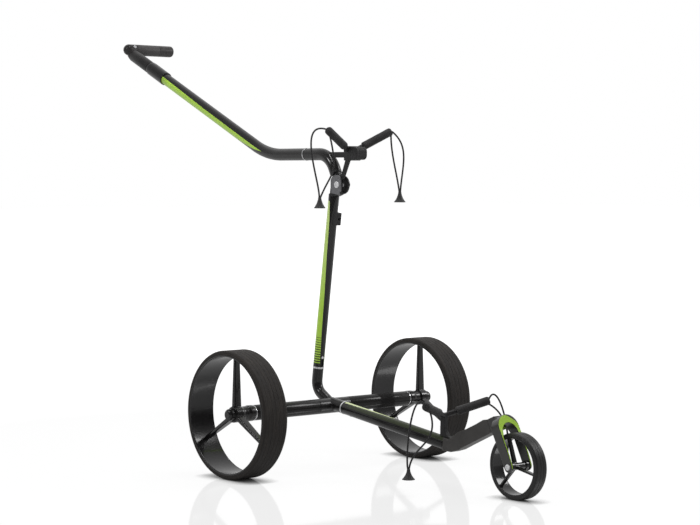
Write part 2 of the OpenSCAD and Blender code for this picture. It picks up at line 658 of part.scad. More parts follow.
module front_rim() color("#1e1d1f") on_fork() rotate([90, 0, 0]) difference() {
  union() {
    barrel(front_rim_in, front_rim_t, 14);
    for (a = [-6:120:234])
      rotate(a) translate([0, 0, 8.2]) spoke([6, front_rim_in + 1], [6, 4], [12, 11]);
    translate([0, 0, -25.5]) cylinder(r = 7.6, h = 51);
    for (z = [-25.5, 16.5])
      translate([0, 0, z]) cylinder(r = 9.8, h = 9);
  }
  translate([0, 0, -60]) cylinder(r = 5, h = 120);
  translate([0, 0, -26]) cylinder(r = front_bearing_r + 0.05, h = 5.6);
  translate([0, 0, 20.4]) cylinder(r = front_bearing_r + 0.05, h = 8);
}
module front_tyre() color("#3e3a3a") on_fork() rotate([90, 0, 0])
  tyre(front_r, front_w, front_rim_in, front_rim_t, 4.5, 2, 8);
module front_bearings() color("silver") on_fork()
  for (y = [-25.45, 20.45])
    translate([0, y + 5, 0]) rotate([90, 0, 0]) tube(front_bearing_r, pin_r + run, 5);

axle_tubes();
center_lug();
rear_stub();
upper_spigot();
front_spigot();
axle_ends();
axle_bearings();
motors();
gearboxes();
motor_controller();
axle_wiring();
battery_socket();
spigot_connector();
snap_springs();
upper_snap_button();
front_snap_button();
right_drive_shaft();
right_rim();
right_tyre();
right_cap_spring();
right_hub_cap();
left_drive_shaft();
left_rim();
left_tyre();
left_cap_spring();
left_hub_cap();
upright_tube();
hinge_fork();
hinge_disc();
hinge_bolt();
accessory_block();
frame_cable();
clamp_knob();
hinge_tongue();
handle_tube();
handle_ring();
handle_collar();
handle_sleeve();
handle_head();
grip_sleeve();
handle_cable();
upper_bracket();
upper_bag_pad();
upper_arm_sleeves();
upper_cords();
upper_toggles();
speed_dial();
power_button();
lower_tube();
wing_beam();
lower_bracket();
lower_arm_sleeves();
lower_cords();
lower_toggles();
front_fork();
front_axle();
front_rim();
front_tyre();
front_bearings();
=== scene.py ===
# A folding three-wheeled electric bag trolley, standing on z = 0.
# +X is forward, +Y is its left and +Z is up. Shapes are drawn in millimetres and scaled by MM.
# Two driven wheels carry the chassis. The upright and the handle rise from it, a lower tube
# runs forward to the fork and the front wheel, and two brackets with cords hold the bag.
import math
from math import sin, cos, pi, radians, atan2, hypot

import bmesh
import bpy
from mathutils import Matrix, Vector


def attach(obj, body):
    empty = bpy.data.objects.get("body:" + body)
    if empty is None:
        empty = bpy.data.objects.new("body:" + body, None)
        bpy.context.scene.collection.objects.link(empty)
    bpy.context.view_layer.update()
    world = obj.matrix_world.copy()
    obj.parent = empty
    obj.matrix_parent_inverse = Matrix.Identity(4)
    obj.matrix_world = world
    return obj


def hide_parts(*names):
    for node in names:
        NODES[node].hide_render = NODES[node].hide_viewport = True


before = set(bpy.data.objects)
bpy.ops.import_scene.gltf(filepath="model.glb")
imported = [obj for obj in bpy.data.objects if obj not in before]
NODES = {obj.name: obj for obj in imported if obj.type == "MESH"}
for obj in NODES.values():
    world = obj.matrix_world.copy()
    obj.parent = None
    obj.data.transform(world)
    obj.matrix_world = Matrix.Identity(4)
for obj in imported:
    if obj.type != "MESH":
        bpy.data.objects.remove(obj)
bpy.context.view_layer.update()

MM = 0.001

# ------------------------------------------------------------------ driving sizes
SHIFT_X = 78.0                    # the body's origin lies this far forward
WHEEL_RADIUS = 145
WHEEL_DISTANCE = 278.5            # from the middle of the axle to a rear wheel's centre
FRONT_RADIUS = 71
AXLE_TUBE_RADIUS = 17.5
UPRIGHT_RADIUS, UPRIGHT_LENGTH = 12.5, 405
LOWER_RADIUS, LOWER_LENGTH = 14.5, 345
HANDLE_RADIUS = 14.25
TUBE_WALL = 2.0
UPRIGHT_FOOT = (-49, 0, 233.5)
UPRIGHT_LEAN = 7.9                # degrees forward
LOWER_REAR_END = (50, 0, 143.3)
LOWER_SLOPE = 7.8                 # degrees down towards the front
FORK_LEAN = 24                    # degrees back
PIN_HEIGHT = 22.5                 # snap pin, from the end of its tube
SLOT_HALF_WIDTH = 3.5
SIDES = {"right": -1, "left": 1}  # the sign of y


# ------------------------------------------------------------------ frames
def frame_of(origin, x, y, z):
    rows = [(x[i], y[i], z[i], origin[i]) for i in range(3)]
    return Matrix((*rows, (0, 0, 0, 1)))


def tilted(origin, degrees):
    """A frame whose z leans forward from upright by degrees."""
    angle = radians(degrees)
    return frame_of(origin, (cos(angle), 0, -sin(angle)), (0, 1, 0), (sin(angle), 0, cos(angle)))


def along(origin, direction, side=(0, 1, 0)):
    """A frame at origin whose z is direction, and whose y is close to side."""
    z = Vector(direction).normalized()
    y = Vector(side)
    y = (y - z * y.dot(z)).normalized()
    return frame_of(origin, y.cross(z), y, z)


def side_frame(sign, distance=0.0):
    """A frame on the rear axle whose z points out to one side."""
    return frame_of((SHIFT_X, sign * distance, WHEEL_RADIUS), (1, 0, 0), (0, 0, 1), (0, sign, 0))


def z_axis(matrix):
    return tuple(matrix.to_3x3().col[2])


BODY = Matrix.Translation((SHIFT_X, 0, 0))
UPRIGHT = BODY @ tilted(UPRIGHT_FOOT, UPRIGHT_LEAN)
LOWER = BODY @ tilted(LOWER_REAR_END, 90 + LOWER_SLOPE)
FORK = BODY @ tilted((612, 0, FRONT_RADIUS), -FORK_LEAN)
FRONT_WHEEL = FORK @ frame_of((0, 0, 0), (1, 0, 0), (0, 0, 1), (0, -1, 0))
ALONG_Y = frame_of((0, 0, 0), (1, 0, 0), (0, 0, -1), (0, 1, 0))      # local z along +Y
SWAP_XY = frame_of((0, 0, 0), (0, 1, 0), (1, 0, 0), (0, 0, 1))


# ------------------------------------------------------------------ mesh tools
def add_object(name, data):
    obj = bpy.data.objects.new(name, data)
    bpy.context.scene.collection.objects.link(obj)
    return obj


def smooth(obj, sharp=None):
    """Shades obj smooth, and marks edges above sharp degrees as sharp."""
    for polygon in obj.data.polygons:
        polygon.use_smooth = True
    if sharp:
        obj.data.set_sharp_from_angle(angle=radians(sharp))


def make(name, verts, faces, matrix, uvs=None, sharp=38):
    mesh = bpy.data.meshes.new(name)
    mesh.from_pydata([(matrix @ Vector(v)) * MM for v in verts], [], faces)
    if uvs:
        layer = mesh.uv_layers.new(name="UVMap")
        for i, uv in enumerate(uv for face in uvs for uv in face):
            layer.data[i].uv = uv
    bm = bmesh.new()
    bm.from_mesh(mesh)
    bmesh.ops.recalc_face_normals(bm, faces=bm.faces)
    bm.to_mesh(mesh)
    bm.free()
    obj = add_object(name, mesh)
    smooth(obj, sharp)
    return obj


def lathe(name, profile, matrix, sides=96, sharp=38):
    """Turns a closed (radius, z) profile round z. UV: u around, v along in metres."""
    verts, rings, faces, uvs, travelled = [], [], [], [], 0.0
    for radius, z in profile:
        if radius < 1e-6:
            rings.append([len(verts)])
            verts.append((0, 0, z))
        else:
            rings.append(list(range(len(verts), len(verts) + sides)))
            verts += [(radius * cos(2 * pi * k / sides), radius * sin(2 * pi * k / sides), z)
                      for k in range(sides)]
    for i, (radius, z) in enumerate(profile):
        j = (i + 1) % len(profile)
        a, b = rings[i], rings[j]
        va = travelled * MM
        travelled += hypot(radius - profile[j][0], z - profile[j][1])
        vb = travelled * MM
        if len(a) == 1 and len(b) == 1:
            continue
        for k in range(sides):
            q, u0, u1 = (k + 1) % sides, k / sides, (k + 1) / sides
            corners = [(a[k % len(a)], u0, va), (b[k % len(b)], u0, vb),
                       (b[q % len(b)], u1, vb), (a[q % len(a)], u1, va)]
            if len(a) == 1:
                del corners[3]
            elif len(b) == 1:
                del corners[2]
            faces.append(tuple(c[0] for c in corners))
            uvs.append(tuple(c[1:] for c in corners))
    return make(name, verts, faces, matrix, uvs, sharp)


def rounded(points, radii, steps=5):
    """A closed profile with its corners rounded. radii is one number or a list."""
    result = []
    for i, point in enumerate(points):
        radius = radii[i] if isinstance(radii, list) else radii
        if radius <= 0:
            result.append(tuple(point))
            continue
        p = Vector(point)
        a, b = Vector(points[i - 1]) - p, Vector(points[(i + 1) % len(points)]) - p
        length_a, length_b = a.length, b.length
        a, b = a / length_a, b / length_b
        half_angle = math.acos(max(-1, min(1, a.dot(b)))) / 2
        if half_angle > radians(88):
            result.append(tuple(p))
            continue
        cut = min(radius / math.tan(half_angle), length_a * 0.49, length_b * 0.49)
        radius = cut * math.tan(half_angle)
        centre = p + (a + b).normalized() * (radius / sin(half_angle))
        start, end = p + a * cut - centre, p + b * cut - centre
        sweep_angle = math.acos(max(-1, min(1, start.normalized().dot(end.normalized()))))
        for k in range(steps + 1):
            t = k / steps
            arm = start * sin((1 - t) * sweep_angle) + end * sin(t * sweep_angle)
            result.append(tuple(centre + arm / max(sin(sweep_angle), 1e-9)))
    return result


def ring(inner, outer, start, end, radii):
    """The rounded profile of a ring or tube."""
    return rounded([(inner, start), (outer, start), (outer, end), (inner, end)], radii, 3)


def mirror(points):
    """A half profile's other half, from z = 0 outwards."""
    return [(radius, -z) for radius, z in reversed(points)]


def sweep(name, path, radius, normal, sides, rounded_ends=False):
    """A round bar along a plane path. UV: u around from normal, v along in metres."""
    last = len(path) - 1
    headings = [(path[min(i + 1, last)] - path[max(i - 1, 0)]).normalized()
                for i in range(len(path))]
    rows = [(p, heading, radius) for p, heading in zip(path, headings)]
    if rounded_ends:
        steps = [(0.92, 0.39), (0.71, 0.71), (0.39, 0.92)]      # radius share, reach share
        head = [(path[0] - headings[0] * (radius * reach * 0.5), headings[0], radius * share)
                for share, reach in reversed(steps)]
        tail = [(path[-1] + headings[-1] * (radius * reach * 0.5), headings[-1], radius * share)
                for share, reach in steps]
        rows = head + rows + tail
    normal = Vector(normal)
    verts, faces, uvs, travelled = [], [], [], 0.0
    for p, heading, r in rows:
        across = heading.cross(normal).normalized()
        for k in range(sides):
            a = 2 * pi * k / sides
            verts.append(p + (normal * cos(a) + across * sin(a)) * r)
    for i in range(len(rows) - 1):
        step = (rows[i + 1][0] - rows[i][0]).length
        for k in range(sides):
            q = (k + 1) % sides
            faces.append((i * sides + k, (i + 1) * sides + k, (i + 1) * sides + q, i * sides + q))
            u0, u1, va, vb = k / sides, (k + 1) / sides, travelled * MM, (travelled + step) * MM
            uvs.append(((u0, va), (u0, vb), (u1, vb), (u1, va)))
        travelled += step
    for first, v in ((0, 0), ((len(rows) - 1) * sides, travelled * MM)):
        faces.append(tuple(first + k for k in range(sides)))
        uvs.append(tuple((k / sides, v) for k in range(sides)))
    return make(name, verts, faces, BODY, uvs, sharp=60)


def prism(name, outline, near, far, matrix):
    """An XZ outline extruded along Y."""
    n = len(outline)
    verts = [(x, near, z) for x, z in outline] + [(x, far, z) for x, z in outline]
    faces = [tuple(range(n)), tuple(range(2 * n - 1, n - 1, -1))]
    faces += [(i, (i + 1) % n, n + (i + 1) % n, n + i) for i in range(n)]
    return make(name, verts, faces, matrix, sharp=30)


def corner(a, b, c, radius, steps):
    """Points of an arc that rounds the corner b."""
    u, v = (a - b).normalized(), (c - b).normalized()
    half_angle = math.acos(u.dot(v)) / 2
    centre = b + (u + v).normalized() * (radius / sin(half_angle))
    cut = radius / math.tan(half_angle)
    start, end = (b + u * cut - centre).normalized(), (b + v * cut - centre).normalized()
    turn = math.acos(start.dot(end))
    across = (end - start * cos(turn)).normalized()
    return [centre + radius * (start * cos(turn * i / steps) + across * sin(turn * i / steps))
            for i in range(steps + 1)]


def bezier(points, steps=48):
    p = [Vector(point) for point in points]
    return [p[0] * (1 - t) ** 3 + 3 * p[1] * (1 - t) ** 2 * t + 3 * p[2] * (1 - t) * t * t
            + p[3] * t ** 3 for t in (i / steps for i in range(steps + 1))]


def dense(points, step):
    """The path with its long spans divided into steps."""
    result = [points[0]]
    for q in points[1:]:
        p = result[-1]
        n = max(1, int((q - p).length / step))
        result += [p + (q - p) * (k / n) for k in range(1, n + 1)]
    return result


def arc_at(path, point):
    """How far along the path its nearest place to point lies."""
    best, place_along, travelled = None, 0.0, 0.0
    for a, b in zip(path, path[1:]):
        span = (b - a).length
        t = max(0.0, min(span, (point - a).dot((b - a) / span)))
        gap = (a + (b - a) * (t / span) - point).length
        if best is None or gap < best:
            best, place_along = gap, travelled + t
        travelled += span
    return place_along


def bake(obj):
    """Applies obj's modifiers to its mesh."""
    graph = bpy.context.evaluated_depsgraph_get()
    graph.update()
    mesh = bpy.data.meshes.new_from_object(obj.evaluated_get(graph),
                                           preserve_all_data_layers=True, depsgraph=graph)
    old = obj.data
    obj.modifiers.clear()
    obj.data = mesh
    mesh.name = old.name
    bpy.data.meshes.remove(old)


def subtract(obj, cutters):
    for cutter in cutters:
        modifier = obj.modifiers.new("cut", "BOOLEAN")
        modifier.operation, modifier.object, modifier.solver = "DIFFERENCE", cutter, "EXACT"
    bake(obj)
    for cutter in cutters:
        bpy.data.objects.remove(cutter)


def hex_socket(head, radius, start, wall_end, tip, matrix):
    """Cuts a hexagonal socket with a pointed floor."""
    points = [(0, start), (radius, start), (radius, wall_end), (0, tip)]
    subtract(head, [lathe("cutter", points, matrix, 6, sharp=20)])


def joined(name, parts):
    """One object from several, with the parts' meshes side by side."""
    bm = bmesh.new()
    for part in parts:
        bm.from_mesh(part.data)
    mesh = bpy.data.meshes.new(name)
    bm.to_mesh(mesh)
    bm.free()
    for part in parts:
        bpy.data.objects.remove(part)
    return add_object(name, mesh)


def cad_copy(name, node):
    mesh = NODES[node].data.copy()
    obj = add_object(name, mesh)
    mesh.materials.clear()
    bm = bmesh.new()
    bm.from_mesh(mesh)
    bmesh.ops.remove_doubles(bm, verts=bm.verts, dist=2e-6)
    bm.to_mesh(mesh)
    bm.free()
    return obj


def cast(obj, voxel, rounds):
    """Melts obj's solids into one moulded skin whose edges and inner corners are rounded."""
    skin = obj.modifiers.new("skin", "REMESH")
    skin.mode, skin.voxel_size, skin.use_smooth_shade = "VOXEL", voxel * MM, True
    softening = obj.modifiers.new("round", "SMOOTH")
    softening.factor, softening.iterations = 0.5, rounds
    bake(obj)
    smooth(obj)
    return obj


# ------------------------------------------------------------------ node tools
FINISHES = {}


class Nodes:
    """Builds and links the nodes of one tree."""

    def __init__(self, owner, output):
        owner.use_nodes = True
        self.tree = owner.node_tree
        self.tree.nodes.clear()
        self.output = self.node(output).inputs[0]
        self.coords = self.node("TexCoord").outputs

    def plug(self, socket, value):
        if isinstance(value, bpy.types.NodeSocket):
            self.tree.links.new(value, socket)
        else:
            if socket.type == "RGBA" and len(value) == 3:
                value = (*value, 1)
            socket.default_value = value

    def node(self, kind, inputs=None, **settings):
        node = self.tree.nodes.new("ShaderNode" + kind)
        for key, value in settings.items():
            setattr(node, key, value)
        for key, value in (inputs or {}).items():
            self.plug(node.inputs[key], value)
        return node

    def math(self, operation, *values):
        return self.node("Math", dict(enumerate(values)), operation=operation).outputs[0]

    def add(self, a, b):
        return self.math("ADD", a, b)

    def sub(self, a, b):
        return self.math("SUBTRACT", a, b)

    def mul(self, result, *factors):
        for factor in factors:
            result = self.math("MULTIPLY", result, factor)
        return result

    def vector(self, operation, *values):
        node = self.node("VectorMath", dict(enumerate(values)), operation=operation)
        return node.outputs["Value" if operation in ("DOT_PRODUCT", "LENGTH") else 0]

    def noise(self, scale, detail=2.0, roughness=0.5, vector=None):
        inputs = {"Vector": self.mm if vector is None else vector, "Scale": scale,
                  "Detail": detail, "Roughness": roughness}
        return self.node("TexNoise", inputs).outputs["Fac"]

    def ramp(self, value, span, to=(0.0, 1.0), smooth=False):
        """Maps value from span to another range, held at both ends."""
        inputs = {"Value": value, "From Min": span[0], "From Max": span[1],
                  "To Min": to[0], "To Max": to[1]}
        kind = "SMOOTHSTEP" if smooth else "LINEAR"
        return self.node("MapRange", inputs, interpolation_type=kind).outputs[0]


class Finish(Nodes):
    """A material with one Principled shader, kept in FINISHES under its name."""

    INPUTS = {"color": "Base Color", "rough": "Roughness", "metal": "Metallic",
              "coat": "Coat Weight", "coat_rough": "Coat Roughness", "sheen": "Sheen Weight",
              "sheen_rough": "Sheen Roughness", "spec": "Specular IOR Level",
              "normal": "Normal", "coat_normal": "Coat Normal"}

    def __init__(self, name):
        FINISHES[name] = bpy.data.materials.new(name)
        super().__init__(FINISHES[name], "OutputMaterial")
        self.surface = self.node("BsdfPrincipled")
        self.plug(self.output, self.surface.outputs[0])
        self.mm = self.vector("MULTIPLY", self.coords["Object"], (1000, 1000, 1000))

    def set(self, **values):
        for key, value in values.items():
            self.plug(self.surface.inputs[self.INPUTS[key]], value)

    def split(self, vector):
        return self.node("SeparateXYZ", {0: vector}).outputs

    def split_uv(self):
        u, v, _ = self.split(self.coords["UV"])
        return u, v

    def combine(self, x, y, z):
        return self.node("CombineXYZ", {0: x, 1: y, 2: z}).outputs[0]

    def mix(self, factor, a, b):
        inputs = {"Factor": factor, 6: a, 7: b}
        return self.node("Mix", inputs, data_type="RGBA").outputs[2]

    def lerp(self, factor, a, b):
        inputs = {"Factor": factor, 2: a, 3: b}
        return self.node("Mix", inputs, data_type="FLOAT").outputs[0]

    def mottled(self, cloud, a, b, span=(0.3, 0.7)):
        """A cloudy mix of two close colours."""
        return self.mix(self.ramp(cloud, span), a, b)

    def streaks(self, x, y, scale, detail, roughness=0.5, offset=0.0):
        """Noise over two values, stretched by a scale for each."""
        place = self.combine(self.mul(x, scale[0]), self.mul(y, scale[1]), offset)
        return self.noise(1.0, detail, roughness, vector=place)

    def voronoi(self, scale):
        return self.node("TexVoronoi", {"Vector": self.mm, "Scale": scale}).outputs["Distance"]

    def bump(self, height, strength, depth):
        """depth is in millimetres."""
        inputs = {"Strength": strength, "Distance": depth * MM, "Height": height}
        return self.node("Bump", inputs).outputs[0]

    def worn_edges(self, amount):
        """0 to amount along outer edges, where the finish wears."""
        pointiness = self.node("NewGeometry").outputs["Pointiness"]
        return self.ramp(pointiness, (0.52, 0.60), (0.0, amount), smooth=True)

    def within(self, value, low, high, soft=0.15):
        """1 between low and high, 0 outside."""
        return self.mul(self.ramp(value, (low - soft, low + soft)),
                        self.ramp(value, (high - soft, high + soft), (1.0, 0.0)))

    def along_axis(self, matrix):
        """Millimetres from a frame's origin, and how far of that lies along its z."""
        offset = self.vector("SUBTRACT", self.mm, tuple(matrix.to_translation()))
        return offset, self.vector("DOT_PRODUCT", offset, z_axis(matrix))


def scaled(color, gain, lift=0.0):
    return tuple(c * gain + lift for c in color)


# ------------------------------------------------------------------ path of the handle tube
RISE = radians(24.8)              # of the long slope
LEVEL = 731.2                     # height of the short level part
SLOPE_X, SLOPE_Z = -625, 908.2    # a place the long slope passes through
HANDLE_TOP_X = -812
FOOT = Vector((12, 0, 690))
FOOT_HEADING = Vector((-9, 0, 18)).normalized()
LOW_CORNER = FOOT + FOOT_HEADING * (LEVEL - FOOT.z) / FOOT_HEADING.z
HIGH_CORNER = Vector((SLOPE_X + (SLOPE_Z - LEVEL) / math.tan(RISE), 0, LEVEL))
SLOPE_HEADING = Vector((-cos(RISE), 0, sin(RISE)))


def on_slope(x):
    return HIGH_CORNER + SLOPE_HEADING * ((HIGH_CORNER.x - x) / cos(RISE))


HANDLE_TOP = on_slope(HANDLE_TOP_X)
HANDLE_PATH = dense([FOOT] + corner(FOOT, LOW_CORNER, HIGH_CORNER, 60, 24)
                    + corner(LOW_CORNER, HIGH_CORNER, HANDLE_TOP, 240, 28) + [HANDLE_TOP], 12)
DECAL_START = arc_at(HANDLE_PATH, on_slope(-252))
DECAL_END = arc_at(HANDLE_PATH, on_slope(-694)) + 40

# ------------------------------------------------------------------ decals on the carbon tubes
LIME = (0.41, 0.67, 0.045)
LIME_PAINT = (0.54, 0.87, 0.085)
EDGE = (-0.5, 0.5)                # softness of a decal's border, degrees


def upright_decal(mat):
    """A lime wedge on each side of the upright, cut by bars towards its foot."""
    u, v = mat.split_uv()
    height = mat.mul(v, 1000.0)
    # degrees round the tube: 0 at the front, 180 at the rear
    centred = mat.sub(mat.math("FRACT", mat.add(u, 0.5)), 0.5)
    angle = mat.mul(mat.math("ABSOLUTE", centred), 360.0)
    # the wedge's front border: spans of height, and the degrees each span adds
    bands = [mat.ramp(height, span, degrees) for span, degrees in (
        ((6.0, 76.0), (26.0, 38.5)), ((76.0, 177.0), (0.0, 8.0)), ((177.0, 270.0), (0.0, 13.5)),
        ((270.0, 350.0), (0.0, 6.0)), ((350.0, 394.0), (0.0, 20.0)))]
    front = mat.add(mat.add(bands[0], bands[1]), mat.add(bands[2], bands[3]))
    front = mat.add(front, bands[4])
    # gaps between bars narrow up the tube and end at 75 mm
    bar = mat.math("DIVIDE", mat.sub(height, 6.0), 5.75)
    gap = mat.ramp(height, (6.0, 82.0), (0.56, 0.10))
    bars = mat.ramp(mat.sub(mat.math("FRACT", bar), gap), (-0.03, 0.03))
    bars = mat.math("MAXIMUM", bars, mat.ramp(height, (74.9, 75.1)))
    return mat.mul(mat.ramp(mat.sub(angle, front), EDGE),
                   mat.ramp(angle, (150.0, 151.0), (1.0, 0.0)),
                   mat.within(height, 6.0, 393.0), bars)


def handle_decal(mat):
    """A lime wedge on each side of the handle's long slope, pointed at its lower end."""
    u, v = mat.split_uv()
    distance = mat.mul(v, 1000.0)
    # degrees round the tube from its upper side
    turn = mat.mul(mat.math("FRACT", mat.add(u, 0.25)), 360.0)
    angle = mat.math("MINIMUM", turn, mat.sub(360.0, turn))
    # the borders in degrees, over the share of the wedge's length
    share = mat.ramp(distance, (DECAL_START, DECAL_END))
    upper = mat.add(mat.ramp(share, (0.0, 0.05), (88.0, 79.0)),
                    mat.ramp(share, (0.05, 0.5), (0.0, -4.0)))
    upper = mat.add(upper, mat.ramp(share, (0.5, 1.0), (0.0, -22.0)))
    lower = mat.add(mat.ramp(share, (0.0, 0.2), (90.0, 142.0)),
                    mat.ramp(share, (0.2, 0.5), (0.0, 22.0)))
    return mat.mul(mat.ramp(mat.sub(angle, upper), EDGE), mat.ramp(mat.sub(lower, angle), EDGE),
                   mat.within(distance, DECAL_START, DECAL_END, soft=0.3))


def lower_tube_place(mat):
    """Degrees from the upper side of the lower tube, and metres along it."""
    u, v = mat.split_uv()
    return mat.mul(mat.math("ABSOLUTE", mat.sub(u, 0.5)), 360.0), v


def olive_top(mat):
    """A soft tint over the upper side."""
    angle, v = lower_tube_place(mat)
    return mat.mul(mat.ramp(angle, (58.0, 66.0), (0.75, 0.0), smooth=True),
                   mat.ramp(v, (0.012, 0.03)))


def painted_highlight_wedge(mat):
    """A narrow pale wedge on the upper side, tapering forwards: a painted highlight standing in
    for the shine along the tube's top edge.
    """
    angle, v = lower_tube_place(mat)
    half_width = mat.ramp(v, (0.0, 0.17), (25.0, 4.0))
    return mat.mul(mat.ramp(mat.sub(half_width, angle), (-0.6, 0.6)),
                   mat.ramp(v, (0.002, 0.003)), mat.ramp(v, (0.169, 0.171), (1.0, 0.0)))


# ------------------------------------------------------------------ kinds of finish
TOW = 1.9                         # width of one tow of the weave, mm


def weave(mat, tows_around):
    """2x2 twill: which tow is on top, the height of its crown, and its fibre lines."""
    u, v = mat.split_uv()
    around = mat.mul(u, float(tows_around))
    length = mat.mul(v, 1000.0 / TOW)
    cell = mat.add(mat.math("FLOOR", around), mat.math("FLOOR", length))
    top = mat.math("LESS_THAN", mat.math("FLOORED_MODULO", cell, 4.0), 1.5)
    crowns = []
    for value in (around, length):
        across = mat.sub(mat.math("FRACT", value), 0.5)
        crowns.append(mat.sub(1.0, mat.mul(mat.mul(across, across), 4.0)))
    height = mat.lerp(top, crowns[1], crowns[0])
    fibre_around = mat.streaks(around, length, scale=(9.0, 0.6), detail=1.0)
    fibre_along = mat.streaks(around, length, scale=(0.6, 9.0), detail=1.0, offset=3.0)
    return top, height, mat.lerp(top, fibre_along, fibre_around)


def carbon(name, radius, decal=None, painted_decal_light_and_shade=None, tints_and_painted_highlights=(), edge=0.2, coat=1.0):
    """Lacquered twill on a tube. painted_decal_light_and_shade is a span along the tube in
    metres, and the lighter or darker lime the decal turns to over it: painted light and shade.
    edge is the share of shine left at grazing angles."""
    mat = Finish(name)
    top, height, fibre = weave(mat, max(4, round(2 * pi * radius / TOW / 4) * 4))
    light = mat.mul(mat.lerp(top, 0.25, 0.95), mat.ramp(fibre, (0.3, 0.7), (0.55, 1.0)))
    base = mat.mix(light, (0.0045, 0.0042, 0.0044), (0.021, 0.020, 0.020))
    # some of these tints are painted highlights, such as the lower tube's pale wedge
    for mask, color in tints_and_painted_highlights:
        base = mat.mix(mask(mat), base, color)
    rough = mat.lerp(top, 0.34, 0.46)
    if decal:
        mask = decal(mat)
        lime = mat.mottled(mat.noise(scale=0.09), LIME_PAINT, scaled(LIME_PAINT, 0.92))
        if painted_decal_light_and_shade:
            span, color = painted_decal_light_and_shade
            # painted light and shade: the decal turns lighter or darker along the tube
            lime = mat.mix(mat.ramp(mat.split_uv()[1], span), lime, color)
        base = mat.mix(mask, base, lime)
        rough = mat.lerp(mask, rough, 0.42)
        height = mat.mul(height, mat.sub(1.0, mask))
    scuff = mat.streaks(mat.split_uv()[0], mat.split_uv()[1],
                        scale=(60.0, 40.0), detail=4.0, roughness=0.65)
    scuff = mat.ramp(scuff, (0.55, 0.75), (0.03, 0.16))
    cloud = mat.ramp(mat.noise(scale=0.02, detail=3.0), (0.35, 0.7))
    facing = mat.node("LayerWeight").outputs["Facing"]
    spec = 0.18
    mat.set(color=base, rough=rough,
            coat=mat.ramp(facing, (0.55, 0.93), (coat, coat * edge), smooth=True),
            coat_rough=mat.lerp(cloud, scuff, 0.035),
            coat_normal=mat.bump(mat.noise(scale=0.11, detail=1.0), strength=0.10, depth=0.25),
            normal=mat.bump(height, strength=0.35, depth=0.12),
            spec=mat.ramp(facing, (0.6, 0.95), (spec, spec * edge)))


def gloss(name, color, rough, coat):
    mat = Finish(name)
    cloud = mat.noise(scale=0.06, detail=4.0, roughness=0.6)
    stretched = mat.vector("MULTIPLY", mat.mm, (0.05, 1.6, 0.05))
    scratch = mat.noise(scale=1.0, detail=3.0, roughness=0.7, vector=stretched)
    base = mat.mottled(cloud, color, scaled(color, 1.35, 0.001))
    mat.set(color=mat.mix(mat.worn_edges(0.25), base, (0.11, 0.11, 0.11)),
            rough=mat.add(mat.lerp(cloud, *rough), mat.ramp(scratch, (0.62, 0.75), (0.0, 0.12))),
            coat=coat, coat_rough=mat.ramp(scratch, (0.5, 0.75), (0.03, 0.14)),
            normal=mat.bump(mat.noise(scale=0.7), strength=0.06, depth=0.08))


def satin(name, color, rough=(0.32, 0.44), metal=0.0, grain=1.4, bump=0.16, wear=0.35,
          worn=(0.16, 0.16, 0.16), coat=0.15, sheen=0.0, spec=0.5):
    """grain is the scale of its fine texture; wear and worn are for its outer edges."""
    mat = Finish(name)
    cloud = mat.noise(scale=0.05, detail=4.0, roughness=0.6)
    fine = mat.noise(scale=grain, detail=3.0, roughness=0.55)
    base = mat.mottled(cloud, color, scaled(color, 1.3, 0.0008))
    wear_mask = mat.mul(mat.worn_edges(wear), mat.ramp(cloud, (0.35, 0.65)))
    mat.set(color=mat.mix(wear_mask, base, worn), rough=mat.lerp(cloud, *rough), metal=metal,
            coat=coat, coat_rough=0.22, normal=mat.bump(fine, strength=bump, depth=0.10),
            spec=spec, sheen=sheen)


def turned(name, color, rough, axis=(0, 1, 0)):
    """Turned or ground metal with fine lines round its axis."""
    mat = Finish(name)
    lines = mat.streaks(mat.vector("DOT_PRODUCT", mat.mm, axis),
                        mat.noise(scale=0.1, detail=1.0),
                        scale=(5.0, 0.6), detail=2.0, roughness=0.7)
    cloud = mat.noise(scale=0.12, detail=4.0, roughness=0.65)
    mat.set(color=mat.mottled(cloud, color, scaled(color, 0.82), span=(0.3, 0.75)), metal=1.0,
            rough=mat.lerp(lines, *rough), normal=mat.bump(lines, strength=0.18, depth=0.03))


def tyre_rubber(name, color, dust, dust_color, rough, spec):
    """Rubber with streaks of dust round the tyre; dust is their strength."""
    mat = Finish(name)
    u, v = mat.split_uv()
    fine = mat.noise(scale=1.1, detail=3.0, roughness=0.6)
    cloud = mat.noise(scale=0.03, detail=4.0, roughness=0.6)
    streak = mat.streaks(u, v, scale=(14.0, 260.0), detail=4.0, roughness=0.62)
    base = mat.mottled(cloud, scaled(color, 0.78), scaled(color, 1.12))
    base = mat.mix(mat.ramp(streak, (0.46, 0.74), (0.0, dust)), base, dust_color)
    mat.set(color=base, rough=mat.ramp(streak, (0.3, 0.7), rough), spec=spec,
            normal=mat.bump(fine, strength=0.28, depth=0.14), sheen=0.02, sheen_rough=0.6)


def foam(name, color):
    mat = Finish(name)
    cells = mat.voronoi(scale=1.5)
    fine = mat.noise(scale=2.6, detail=3.0, roughness=0.6)
    base = mat.mottled(mat.noise(scale=0.08, detail=3.0), color, scaled(color, 1.5))
    # darker in the cells' pits, where the bump sinks: painted shade
    base = mat.mix(mat.ramp(cells, (0.0, 0.35), (0.35, 0.0)), base, (0.006, 0.006, 0.006))
    height = mat.add(mat.mul(cells, 0.8), mat.mul(fine, 0.4))
    mat.set(color=base, rough=0.88, normal=mat.bump(height, strength=0.5, depth=0.22),
            spec=0.35, sheen=0.12, sheen_rough=0.5)


def soft(name, color, rough):
    """Moulded rubber."""
    mat = Finish(name)
    fine = mat.noise(scale=1.6, detail=3.0, roughness=0.6)
    cloud = mat.noise(scale=0.07, detail=3.0)
    mat.set(color=mat.mottled(cloud, color, scaled(color, 1.35)), rough=mat.lerp(cloud, *rough),
            normal=mat.bump(fine, strength=0.28, depth=0.12), spec=0.45, sheen=0.05)


